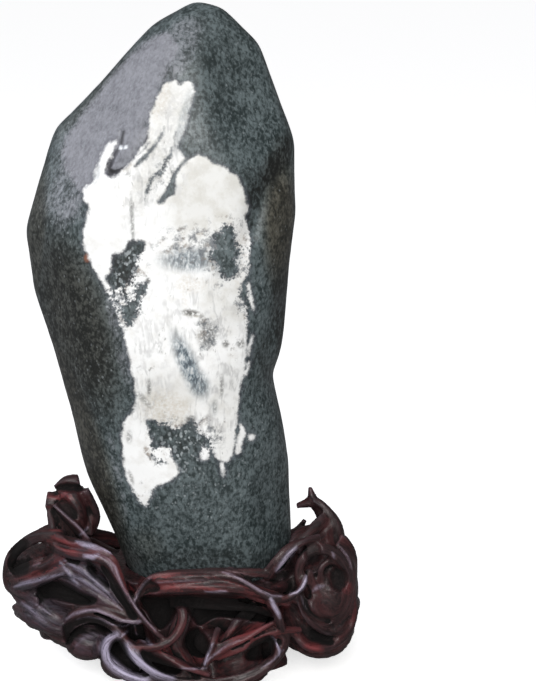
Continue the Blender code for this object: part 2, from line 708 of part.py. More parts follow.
def core_mesh():
    """Points and faces of the body of wood under the stone."""
    levels = np.array(CORE_LEVELS, float)
    heights = np.linspace(levels[0, 0], levels[-1, 0], CORE_RINGS)
    angles = 2 * math.pi * np.arange(CORE_SIDES) / CORE_SIDES
    points = []
    for height in heights:
        half_width, half_depth = (np.interp(height, levels[:, 0], levels[:, k]) for k in (1, 2))
        swelling = 1 + sum(deep * np.cos(count * angles + lean * height) for count, deep, lean in CORE_FLUTES)
        x = CORE_MIDDLE[0] + half_width * swelling * np.cos(angles)
        y = CORE_MIDDLE[1] + half_depth * swelling * np.sin(angles)
        points += list(zip(x, y, np.full(CORE_SIDES, height)))
    faces = [tuple(reversed(range(CORE_SIDES)))]
    faces.append(tuple(len(points) - CORE_SIDES + k for k in range(CORE_SIDES)))
    for ring in range(CORE_RINGS - 1):
        for k in range(CORE_SIDES):
            beside = (k + 1) % CORE_SIDES
            low, high = ring * CORE_SIDES, (ring + 1) * CORE_SIDES
            faces.append((low + k, low + beside, high + beside, high + k))
    return points, faces


def seat_ring_places():
    """The closed ring of wood round the stone's foot."""
    x, y = SEAT_RING["middle"]
    places = []
    for k in range(SEAT_RING_POINTS + 1):
        angle = 2 * math.pi * k / SEAT_RING_POINTS
        places.append(
            (
                x + SEAT_RING["half_width"] * math.cos(angle),
                y + SEAT_RING["half_depth"] * math.sin(angle),
                SEAT_RING["height"],
                SEAT_RING["radius"],
            )
        )
    return places


def add_lump(mesh, middle, half_sizes):
    """Adds a rounded lump of wood to a bmesh."""
    matrix = Matrix.Translation(in_row(middle)) @ Matrix.Diagonal((*(Vector(half_sizes) * MM), 1))
    bmesh.ops.create_icosphere(mesh, subdivisions=3, radius=1, matrix=matrix)


def raw_stand():
    """Every shape of the stand in one object, still passing through each other."""
    mesh = bmesh.new()
    shapes = [core_mesh()]
    for places, strands in [*all_roots().values(), (seat_ring_places(), 1)]:
        shapes += root_strands(places, strands)
    for points, faces in shapes:
        corners = [mesh.verts.new(in_row(p)) for p in points]
        for face in faces:
            mesh.faces.new([corners[k] for k in face])
    for middle, half_sizes in LUMPS.values():
        add_lump(mesh, middle, half_sizes)
    bmesh.ops.recalc_face_normals(mesh, faces=mesh.faces)
    data = bpy.data.meshes.new("stand")
    mesh.to_mesh(data)
    mesh.free()
    made = bpy.data.objects.new("stand", data)
    bpy.context.scene.collection.objects.link(made)
    return made


def apply_modifiers(made):
    """Replaces an object's mesh by what its modifiers make of it."""
    graph = bpy.context.evaluated_depsgraph_get()
    finished = bpy.data.meshes.new_from_object(made.evaluated_get(graph))
    made.modifiers.clear()
    made.data = finished


def keep_largest_body(made):
    """Deletes any crumb that a cut has left beside the main body."""
    mesh = bmesh.new()
    mesh.from_mesh(made.data)
    left = set(mesh.verts)
    bodies = []
    while left:
        body, edge = set(), [next(iter(left))]
        while edge:
            corner = edge.pop()
            if corner in body:
                continue
            body.add(corner)
            edge += [e.other_vert(corner) for e in corner.link_edges]
        bodies.append(body)
        left -= body
    bodies.sort(key=len)
    for crumb in bodies[:-1]:
        bmesh.ops.delete(mesh, geom=list(crumb), context="VERTS")
    mesh.to_mesh(made.data)
    mesh.free()


def seat_cutter():
    """The stone's foot, a little larger all round, as a cutter."""
    cutter = mesh_object("seat_cutter", stone_points(), stone_faces())
    cutter.hide_render = True
    cutter.display_type = "WIRE"
    outward = [v.normal.copy() for v in cutter.data.vertices]
    for vertex, normal in zip(cutter.data.vertices, outward):
        vertex.co += normal * SEAT_GAP * MM
    return cutter


def floor_cutter():
    """A block that trims the stand flat at the floor."""
    mesh = bmesh.new()
    below = Matrix.Translation((0, 0, -FLOOR_BLOCK[2] * MM / 2))
    bmesh.ops.create_cube(mesh, size=1, matrix=below @ Matrix.Diagonal((*(Vector(FLOOR_BLOCK) * MM), 1)))
    data = bpy.data.meshes.new("floor_cutter")
    mesh.to_mesh(data)
    mesh.free()
    cutter = bpy.data.objects.new("floor_cutter", data)
    bpy.context.scene.collection.objects.link(cutter)
    cutter.hide_render = True
    cutter.display_type = "WIRE"
    return cutter


def make_stand():
    """The carved stand, one solid: its roots grown together, with a seat for the stone and a flat foot."""
    stand = raw_stand()
    remesh = stand.modifiers.new("grow_together", "REMESH")
    remesh.mode = "VOXEL"
    remesh.voxel_size = STAND_VOXEL * MM
    soften = stand.modifiers.new("soften", "SMOOTH")
    soften.iterations = STAND_SMOOTHING
    apply_modifiers(stand)
    keep_largest_body(stand)
    facets = stand.modifiers.new("facets", "DECIMATE")
    facets.ratio = STAND_TRIANGLES / (2 * len(stand.data.polygons))
    facets.use_collapse_triangulate = True
    for name, cutter in (("seat", seat_cutter()), ("foot", floor_cutter())):
        cut = stand.modifiers.new(name, "BOOLEAN")
        cut.operation = "DIFFERENCE"
        cut.solver = "EXACT"
        cut.object = cutter
    apply_modifiers(stand)
    keep_largest_body(stand)
    stand.data.materials.clear()
    stand.data.materials.append(plain_finish("dark_wood", WOOD_COLOUR, 0.4))
    return stand


def main():
    """Clears the scene and builds the two pieces."""
    for old in list(bpy.data.objects):
        bpy.data.objects.remove(old)
    make_stone()
    make_stand()


main()
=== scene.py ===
"""The looks of a scholar's rock: a dark river stone with a white vein, in a carved root stand.

Metres, +Z up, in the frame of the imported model. The stone and the stand are made here as fine meshes of the
same forms as the model's solids, from the same named values, which are in mm.
"""

import math
from functools import reduce

import bmesh
import bpy
import numpy as np
from mathutils import Matrix, Vector, kdtree, noise
from mathutils.bvhtree import BVHTree


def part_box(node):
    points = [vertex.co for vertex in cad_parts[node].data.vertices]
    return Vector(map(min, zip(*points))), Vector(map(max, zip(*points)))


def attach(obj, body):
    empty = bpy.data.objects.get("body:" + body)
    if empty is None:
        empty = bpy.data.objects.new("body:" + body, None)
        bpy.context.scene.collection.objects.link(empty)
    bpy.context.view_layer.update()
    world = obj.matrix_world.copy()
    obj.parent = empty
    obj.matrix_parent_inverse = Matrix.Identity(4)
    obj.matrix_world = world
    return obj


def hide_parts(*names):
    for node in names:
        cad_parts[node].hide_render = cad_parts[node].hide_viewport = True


MM = 0.001

# The front is laid out in a picture plane, in mm: across to the right and up from the middle of the
# foot. The eye looks down on the object by VIEW_TILT, and the plane is VIEW_PLANE_FAR from it.
VIEW_TILT = math.radians(15)
VIEW_EYE = (43.25, -913.3, 420.1)
VIEW_PLANE_FAR = 946
VIEW_PLANE_MIDDLE = (43.25, 161.75)
CAMERA_LENS = 100
CAMERA_SENSOR = 36

# The photograph shows the picture plane at this many mm to the pixel, with the foot's middle here.
PHOTO_PIXEL = 0.5
PHOTO_FOOT = (181.5, 664)

# Moves the finished object so that the origin is under the middle of its box, in mm.
MOVE_TO_MIDDLE = (1.0, 0.13, 0)

# The stone's outline from the front, as (across, up), anticlockwise from its foot.
STONE_FRONT_OUTLINE = [
    (8, 35), (30, 35.5), (45, 42), (53.2, 52), (55, 64), (53.8, 101), (50.5, 123), (45.8, 145.5),
    (49.6, 156), (51, 164.5), (53.5, 200), (57.8, 227), (57.2, 262), (39.2, 310.5), (20.5, 329), (7, 332.5),
    (-14, 320.5), (-63.5, 268), (-78.4, 218.5), (-74.2, 188), (-64.5, 162), (-46.4, 97), (-31, 60.5),
    (-25.5, 45), (-12, 36),
]

# The stone's outline from its right side, as (y, z) in mm, anticlockwise from its foot.
STONE_SIDE_OUTLINE = [
    (0, 45), (18, 46), (27, 56), (32, 75), (36, 110), (39, 160), (43, 205), (43, 245), (38, 285), (27, 318),
    (12, 338), (1, 344), (-10, 338), (-26, 320), (-39, 285), (-46, 245), (-46, 205), (-42, 160), (-39, 110),
    (-34, 75), (-29, 58), (-20, 47),
]
CORNER_SOFTNESS = 3.2
SECTION_POWER = 2.35

# Flats worn into the stone: the way each faces, and how many mm it takes off the stone there.
STONE_FLATS = {
    "upper_left": ((-0.58, -0.66, 0.48), 8.0),
    "upper_right": ((0.55, -0.76, 0.34), 5.5),
    "right_side": ((0.80, -0.60, -0.05), 5.0),
    "left_side": ((-0.78, -0.60, -0.16), 4.5),
    "front": ((0.06, -0.99, 0.03), 3.5),
    "lower_front": ((-0.10, -0.95, -0.28), 2.5),
    "lower_left": ((-0.72, -0.56, -0.42), 3.0),
    "back": ((0.10, 0.99, 0.08), 5.0),
    "back_upper_left": ((-0.50, 0.70, 0.50), 6.0),
    "back_upper_right": ((0.52, 0.76, 0.40), 5.0),
    "back_lower_right": ((0.66, 0.70, -0.26), 4.0),
    "back_lower_left": ((-0.70, 0.66, -0.28), 4.0),
}
FLAT_SOFTNESS = 1.6

# Creases in the front: a path of (across, up), how wide the crease is, and how deep.
STONE_CREASES = {
    "right_fold": ([(62, 262), (50, 246), (40, 232), (34, 214)], 5.5, 4.2),
    "waist_fold": ([(56, 186), (46, 170), (42, 152), (50, 144)], 6.0, 2.4),
    "broken_lip": ([(-30, 266), (-31, 259), (-34.5, 253), (-37.5, 247), (-34, 244), (-28, 246)], 1.0, 1.5),
}
CREASE_FADE_DEPTH = 12
SWELL_SIZE = 46.0
SWELL_DEPTH = 1.3
SWELL_MIDDLE = (-6, 0, 200)
SWELL_WEIGHTS = (1, 1, 0.2)

# How far apart the stone's columns of points are, as pairs of y and the step there, on a plain section of
# these half sizes, and how far apart its rings are, as pairs of height and step, less at both ends. All in mm.
STONE_HALF_SIZES = (66, 43)
COLUMN_STEPS = ((-43, 0.62), (-36, 0.62), (-28, 1.25), (-6, 1.25), (8, 2.6), (43, 2.6))
RING_STEPS = ((76, 1.5), (84, 0.88), (300, 0.88), (308, 1.5))
RING_CROWDING = 0.45
LEAST_RING_STEP = 0.02
FINE_ANGLES = 7201
FINE_RINGS = 6001

# Small forms in the stone's surface: the size of each in mm, and how deep it goes.
STONE_HOLLOWS = ((17, 0.35), (6.0, 0.16), (2.4, 0.07))

# The shallow flake broken out beside the vein, and how far it sinks at its steep lower left edge.
FLAKE_OUTLINE = [
    (122, 132), (121, 143), (116, 151), (111, 159), (106, 167), (105, 172), (111, 176), (118, 173),
    (126, 167), (134, 160), (141, 151), (146, 143), (148, 134), (140, 127), (130, 126),
]
FLAKE_DEPTH = 0.9
FLAKE_EDGE = 0.7
FLAKE_POWER = 0.7
FLAKE_SLOPE = ((106, 172), (146, 132))

# The white vein, as closed outlines in the photograph's pixels. Its depth is kept down to this many mm
# outside it, and each side of an outline is drawn with this many steps.
VEIN_FADE = 30
LOOP_STEPS = 4
VEIN_OUTLINES = {
    "main": [
        (165, 84), (170, 82), (175, 80), (178, 85), (184, 83), (188, 81), (192, 83), (194, 91), (192, 98),
        (190, 105), (188, 115), (186, 124), (183, 132), (180, 140), (177, 147), (181, 153), (184, 157),
        (190, 159), (195, 156), (199, 155), (204, 157), (208, 160), (213, 164), (220, 166), (225, 168),
        (229, 172), (234, 175), (238, 179), (241, 184), (244, 190), (246, 197), (247, 203), (248, 210),
        (245, 216), (246, 223), (248, 230), (250, 237), (250, 245), (249, 255), (248, 263), (249, 270),
        (247, 275), (243, 281), (241, 288), (239, 296), (242, 301), (245, 305), (246, 312), (247, 325),
        (246, 340), (247, 350), (246, 360), (244, 370), (242, 380), (240, 390), (239, 400), (238, 410),
        (237, 420), (236, 430), (235, 440), (233, 450), (232, 456), (228, 461), (222, 460), (215, 457),
        (213, 451), (212, 444), (207, 438), (201, 434), (197, 429), (196, 423), (190, 420), (185, 423),
        (180, 427), (175, 428), (170, 426), (165, 422), (160, 423), (155, 420), (146, 421), (148, 430),
        (150, 437), (150, 446), (153, 450), (160, 448), (167, 449), (171, 455), (174, 461), (177, 467),
        (177, 474), (172, 479), (165, 483), (157, 486), (153, 490), (151, 496), (148, 502), (145, 505),
        (140, 502), (137, 497), (133, 491), (129, 482), (126, 473), (124, 465), (123, 448), (121, 440),
        (122, 432), (124, 424), (128, 418), (133, 412), (135, 405), (137, 397), (135, 392), (135, 383),
        (132, 372), (130, 362), (128, 352), (126, 345), (124, 334), (121, 322), (117, 310), (112, 298),
        (106, 288), (100, 278), (91, 264), (85, 248), (83, 234), (86, 222), (88, 213), (88, 205), (84, 198),
        (83, 192), (86, 186), (92, 182), (94, 172), (97, 163), (101, 154), (106, 146), (112, 141),
        (116, 140), (114, 147), (111, 155), (107, 163), (103, 171), (106, 176), (112, 177), (118, 174),
        (125, 168), (131, 163), (136, 157), (140, 150), (145, 143), (148, 136), (149, 128), (150, 118),
        (152, 110), (155, 103), (158, 97), (161, 90),
    ],
    "right_strip": [(241, 424), (246, 433), (243, 442), (240, 452), (237, 454), (236, 448), (239, 436)],
    "right_spot": [(249, 435), (252, 434), (255, 437), (252, 440), (249, 439)],
    "low_strip": [(220, 463), (223, 465), (225, 475), (222, 474)],
    "flecked_white": [(205, 449), (209, 452), (208, 458), (203, 460), (200, 455)],
}

# Islands of dark stone inside the vein, and the light patches inside those.
DARK_ISLANDS = {
    "left_patch": [
        (132, 240), (139, 241), (145, 242), (145, 250), (140, 258), (137, 265), (135, 272), (133, 280),
        (136, 287), (142, 285), (148, 281), (147, 290), (142, 297), (140, 305), (138, 313), (135, 320),
        (130, 327), (125, 323), (121, 316), (116, 306), (111, 297), (107, 289), (104, 281), (104, 276),
        (108, 274), (110, 268), (111, 260), (112, 254), (118, 254), (124, 250), (127, 244),
    ],
    "right_mass": [
        (226, 224), (234, 230), (236, 241), (242, 250), (237, 262), (239, 272), (230, 280), (220, 277),
        (217, 266), (209, 258), (214, 246), (211, 235), (219, 231),
    ],
    "hook": [(151, 455), (155, 457), (161, 460), (167, 461), (165, 464), (158, 463), (152, 459)],
}
LIGHT_PATCHES = {
    "patch_a": [(127, 286), (133, 284), (137, 288), (133, 291), (135, 297), (130, 300), (127, 295)],
    "patch_b": [(116, 290), (121, 289), (120, 294), (125, 301), (121, 304), (117, 298)],
}

# Thin dark lines that cut the vein: (right, down, half width in mm) along each.
DARK_LINES = {
    "arm_first": [
        (165, 127, 0.3), (161, 135, 0.9), (158, 142, 0.5), (152, 149, 1.0), (145, 157, 1.2),
        (138, 163, 1.3), (134, 166, 0.6),
    ],
    "arm_left": [(149, 143, 0.3), (143, 150, 0.3), (135, 158, 0.4), (124, 169, 0.4)],
    "arm_second": [
        (172, 148, 0.5), (171, 154, 1.0), (166, 161, 1.4), (163, 168, 1.1), (160, 173, 1.2),
        (154, 176, 1.0), (150, 184, 0.8), (147, 191, 0.7), (145, 200, 0.4),
    ],
    "arm_third": [
        (190, 158, 0.6), (184, 162, 1.6), (179, 168, 1.0), (174, 175, 1.4), (172, 184, 2.0),
        (171, 191, 2.6), (165, 196, 1.8), (160, 202, 1.4),
    ],
    "arm_top": [(176, 132, 0.3), (174, 138, 0.4), (175, 146, 0.5)],
}

# Cracks in the dark stone, and sharp shadows painted into it.
CRACKS = {
    "flake_left": [
        (123, 131, 0.4), (121.5, 138, 0.7), (120, 146, 0.3), (116, 151, 0.5), (112, 158, 0.5),
        (107, 167, 1.0), (110, 173, 1.6), (116, 172, 1.3), (123, 168, 0.5),
    ],
    "flake_right": [(149, 128, 0.4), (148, 136, 0.7), (144, 143, 0.3)],
}

# Thin light lines beside the vein.
LIGHT_LINES = {
    "left_thread": [(101, 275, 0.5), (107, 287, 0.6), (112, 297, 0.6), (117, 308, 0.7), (122, 324, 0.9)],
    "right_upper": [(249, 284, 0.3), (250, 295, 0.6), (252, 304, 0.8), (254, 310, 0.3)],
    "right_middle": [(253, 336, 0.3), (250, 345, 0.6), (249, 355, 0.4)],
    "right_lower": [(250, 362, 0.4), (246, 374, 0.3)],
}

# Soft stains in the vein: middle and half sizes in pixels, turn clockwise in degrees, and how strong.
BLUE_STAINS = {
    "band": ((190, 260), (28, 11), 0, 0.85),
    "band_right": ((225, 255), (15, 20), 0, 0.7),
    "middle": ((188, 365), (9, 32), -24, 1.0),
    "middle_low": ((198, 383), (10, 15), -28, 0.9),
    "foot": ((156, 494), (6, 5), 0, 0.45),
    "arm_right": ((184, 122), (6, 30), 12, 0.5),
    "right_leg": ((214, 408), (5, 8), 0, 0.25),
    "wisp": ((96, 172), (4, 12), 12, 0.38),
}
GREY_STAINS = {
    "centre": ((208, 335), (9, 13), 8, 0.83),
    "centre_right": ((226, 344), (3.5, 3.5), 0, 0.9),
    "right_edge": ((241, 344), (4, 4), 0, 0.83),
    "right_streak": ((222, 386), (2, 11), 0, 0.75),
    "right_streak_low": ((215, 408), (2, 7), 0, 0.68),
    "left_streak": ((149, 388), (2, 8), 0, 0.83),
    "left_slant": ((144, 400), (3, 10), -40, 0.6),
    "bottom_patch": ((190, 427), (7, 5), 0, 0.9),
    "bottom_dark": ((191, 419), (5, 3), 0, 1.0),
    "upper_line": ((132, 219), (1.8, 24), -3, 0.8),
    "arm": ((174, 112), (14, 36), 15, 0.12),
    "arm_low": ((160, 150), (14, 20), 35, 0.22),
    "neck": ((146, 190), (14, 22), 20, 0.18),
    "bar": ((191, 313), (9, 3), 8, 1.0),
    "bar_right": ((203, 321), (3, 8), -20, 0.7),
    "left_foot": ((129, 437), (3, 6), 0, 0.6),
    "left_foot_low": ((131, 478), (2, 7), -18, 0.6),
    "centre_line": ((176, 334), (1.6, 7), 0, 0.52),
    "speck_a": ((148, 281), (2.5, 3), 0, 1.0),
    "speck_b": ((127, 174), (3, 2), 0, 0.6),
}
WARM_STAINS = {
    "bar": ((192, 314), (8, 3), 10, 0.85),
    "bar_right": ((204, 322), (3, 8), -20, 0.4),
    "lower": ((166, 409), (24, 17), 0, 0.52),
    "below_band": ((190, 285), (14, 9), 0, 0.45),
    "upper_line": ((185, 298), (3, 12), 0, 0.3),
    "arm_cream": ((162, 100), (7, 20), 18, 0.42),
    "flake_edge": ((128, 167), (8, 4), -30, 0.4),
    "right_shade": ((240, 260), (8, 34), 0, 0.3),
}

# Where the dark stone carries more light flecks, and where it is lighter, browner or darker than elsewhere.
FLECK_AREAS = {
    "left_patch": ((126, 284), (18, 40), 15, 1.0),
    "right_mass": ((226, 252), (16, 28), 0, 0.5),
    "between_feet": ((183, 451), (34, 26), 0, 1.0),
    "below_vein": ((205, 492), (60, 34), 0, 0.38),
    "left_of_vein": ((66, 205), (26, 40), 15, 0.35),
    "right_of_vein": ((262, 440), (16, 60), 0, 0.3),
    "left_flank": ((84, 336), (34, 96), -17, 0.34),
}
PALE_AREAS = {
    "beside_facet": ((70, 190), (20, 42), 16, 0.42),
    "above_facet": ((180, 46), (18, 34), 25, 0.42),
    "left_of_vein": ((122, 352), (7, 60), -14, 0.34),
    "left_of_foot": ((116, 470), (5, 50), -12, 0.25),
}
# The facet at the upper left, lavender-grey from wear and painted sheen, and how wide its edge is in mm.
FACET_OUTLINE = [
    (138, 47), (153, 36), (168, 34), (178, 43), (176, 57), (168, 69), (164, 81), (155, 99), (149, 122),
    (147, 134), (136, 153), (118, 178), (96, 184), (86, 194), (73, 186), (62, 162), (67, 137), (82, 112),
    (100, 87), (121, 62),
]
FACET_EDGE = 4.5
BROWN_AREAS = {
    "left_edge": ((34, 250), (10, 90), 4, 0.7),
    "left_low_edge": ((84, 440), (16, 130), -18, 0.9),
    "left_flank": ((76, 320), (30, 80), -17, 0.7),
    "upper_left_edge": ((86, 92), (12, 60), 42, 0.6),
    "right_edge": ((281, 222), (17, 62), 0, 1.0),
    "right_olive": ((279, 180), (8, 12), 0, 0.8),
    "foot": ((140, 548), (22, 18), 0, 0.35),
}
# Darker areas: mostly painted shade on the sides turned from the light, in the creases and along the foot, with
# some darker stone.
SHADE_AND_DARK_AREAS = {
    "right_strip": ((284, 305), (12, 58), 0, 0.95),
    "waist": ((268, 352), (13, 22), 20, 0.55),
    "right_fold": ((273, 168), (11, 46), 40, 1.0),
    "ridge": ((214, 62), (34, 60), 0, 0.2),
    "left_patch": ((125, 268), (17, 34), 0, 0.8),
    "above_arm": ((169, 74), (7, 10), 20, 0.5),
    "fold_top": ((288, 146), (13, 12), 40, 0.85),
    "between_feet": ((180, 440), (24, 18), 0, 0.45),
    "fold_end": ((254, 204), (7, 30), 14, 0.8),
    "left_flank": ((74, 326), (34, 96), -17, 0.9),
    "left_of_patch": ((100, 318), (12, 34), -20, 0.5),
    "left_low_edge": ((96, 470), (10, 90), -18, 0.5),
    "beside_vein": ((250, 176), (9, 10), 0, 0.4),
    "vein_right": ((252, 190), (6, 20), 0, 0.5),
    "foot_right": ((288, 520), (12, 60), 0, 0.5),
    "foot": ((215, 560), (80, 12), 0, 0.45),
}
RUST_SPOTS = {
    "rust": ((87, 258), (3, 4), 0, 0.9),
}
# Painted highlights: two small glints at the flake's edge.
PAINTED_GLINT_SPOTS = {
    "left": ((120, 147.5), (1.5, 1.8), 0, 1.0),
    "right": ((125, 147), (2.2, 1.5), -15, 0.9),
}
# Where the vein is mottled with dark grains.
MOTTLED_AREAS = {
    "upper": ((200, 245), (46, 20), 0, 0.95),
    "right_mass": ((225, 252), (26, 38), 0, 0.95),
    "foot": ((188, 436), (38, 20), 0, 0.9),
    "foot_left": ((156, 455), (14, 12), 0, 0.8),
    "centre": ((206, 334), (12, 17), 10, 0.9),
    "left_patch": ((128, 290), (20, 40), 12, 0.9),
    "right_side": ((242, 304), (9, 26), 0, 0.7),
    "right_side_low": ((236, 350), (8, 20), 0, 0.45),
    "strands": ((160, 176), (12, 22), 35, 0.55),
    "left_foot": ((144, 494), (14, 14), 0, 0.5),
}
# Where the vein's white is duller and creamier.
CREAM_AREAS = {
    "upper": ((208, 196), (44, 44), 0, 1.0),
    "arm": ((168, 112), (24, 40), 20, 0.95),
    "strands": ((150, 172), (14, 40), 25, 0.6),
    "right_shoulder": ((226, 300), (24, 30), 0, 0.7),
    "lower": ((170, 400), (34, 28), 0, 0.8),
    "right_leg": ((224, 420), (16, 50), 0, 0.6),
}
# Where fine grey threads and short dark strokes run through the vein.
VEINLET_AREAS = {
    "right": ((218, 382), (30, 84), 0, 1.0),
    "left": ((150, 372), (22, 60), 0, 0.8),
    "arm": ((158, 160), (34, 70), 30, 0.9),
    "middle": ((190, 320), (44, 50), 0, 0.7),
}
STAIN_SOFTNESS = 0.5
CRACK_SOFTNESS = 1.0
# The areas under the names that they have on the mesh.
STONE_AREAS = {
    "blue": BLUE_STAINS,
    "grey": GREY_STAINS,
    "warm": WARM_STAINS,
    "fleck": FLECK_AREAS,
    "pale": PALE_AREAS,
    "brown": BROWN_AREAS,
    "dark": SHADE_AND_DARK_AREAS,
    "rust": RUST_SPOTS,
    "painted_glint": PAINTED_GLINT_SPOTS,
    "mottled": MOTTLED_AREAS,
    "cream": CREAM_AREAS,
    "veinlets": VEINLET_AREAS,
}

# The stone's colours. Two together are the ends of a range.
STONE_COLOURS = {
    "ground": ((0.016, 0.025, 0.026), (0.122, 0.151, 0.158)),
    "brown": ((0.016, 0.016, 0.012), (0.104, 0.099, 0.080)),
    # The facet's lavender-grey, partly wear and partly painted sheen.
    "worn": ((0.160, 0.164, 0.186), (0.246, 0.253, 0.282)),
    # A near-black for painted shade and darker stone.
    "dark": (0.007, 0.008, 0.007),
    # A near-black for the painted shadow in cracks.
    "crack_and_shadow": (0.012, 0.012, 0.012),
    "fleck": (0.42, 0.46, 0.48),
    "rust": (0.30, 0.10, 0.035),
    "halo": (0.085, 0.085, 0.110),
    # The colour of the painted highlights.
    "painted_glint": (0.86, 0.90, 0.95),
    "white": ((0.88, 0.885, 0.885), (0.77, 0.765, 0.75)),
    "cream": ((0.71, 0.71, 0.695), (0.60, 0.59, 0.555)),
    "thread": (0.44, 0.44, 0.44),
    "stroke": (0.20, 0.19, 0.18),
    "sand": (0.46, 0.385, 0.28),
    "smoke": (0.15, 0.15, 0.145),
    "slate": ((0.215, 0.262, 0.292), (0.070, 0.088, 0.105)),
    "smudge": ((0.090, 0.103, 0.118), (0.230, 0.180, 0.140)),
}
STONE_SPECULAR = 0.45
STONE_BUMP = 0.8

# The stand's body of wood under the stone, as (height, half width, half depth) in mm.
CORE_LEVELS = [
    (-4, 39, 34), (3, 39, 34), (12, 38, 31), (24, 37, 28), (36, 42, 31), (48, 48, 35), (57, 50, 37),
]
CORE_MIDDLE = (9, 0)
CORE_SIDES = 160
CORE_RINGS = 48

# Flutes round that body: how many, how deep as a share of its radius, and their lean per mm of height.
CORE_FLUTES = ((9, 0.060, 0.045), (5, 0.050, -0.080), (14, 0.025, 0.11), (31, 0.010, -0.06))

# The outside of the stand's basket of roots, as an ellipse seen from above.
BASKET_HALF_WIDTH = 94
BASKET_HALF_DEPTH = 47
BASKET_MIDDLE = 2
BASKET_ROUNDS = 6

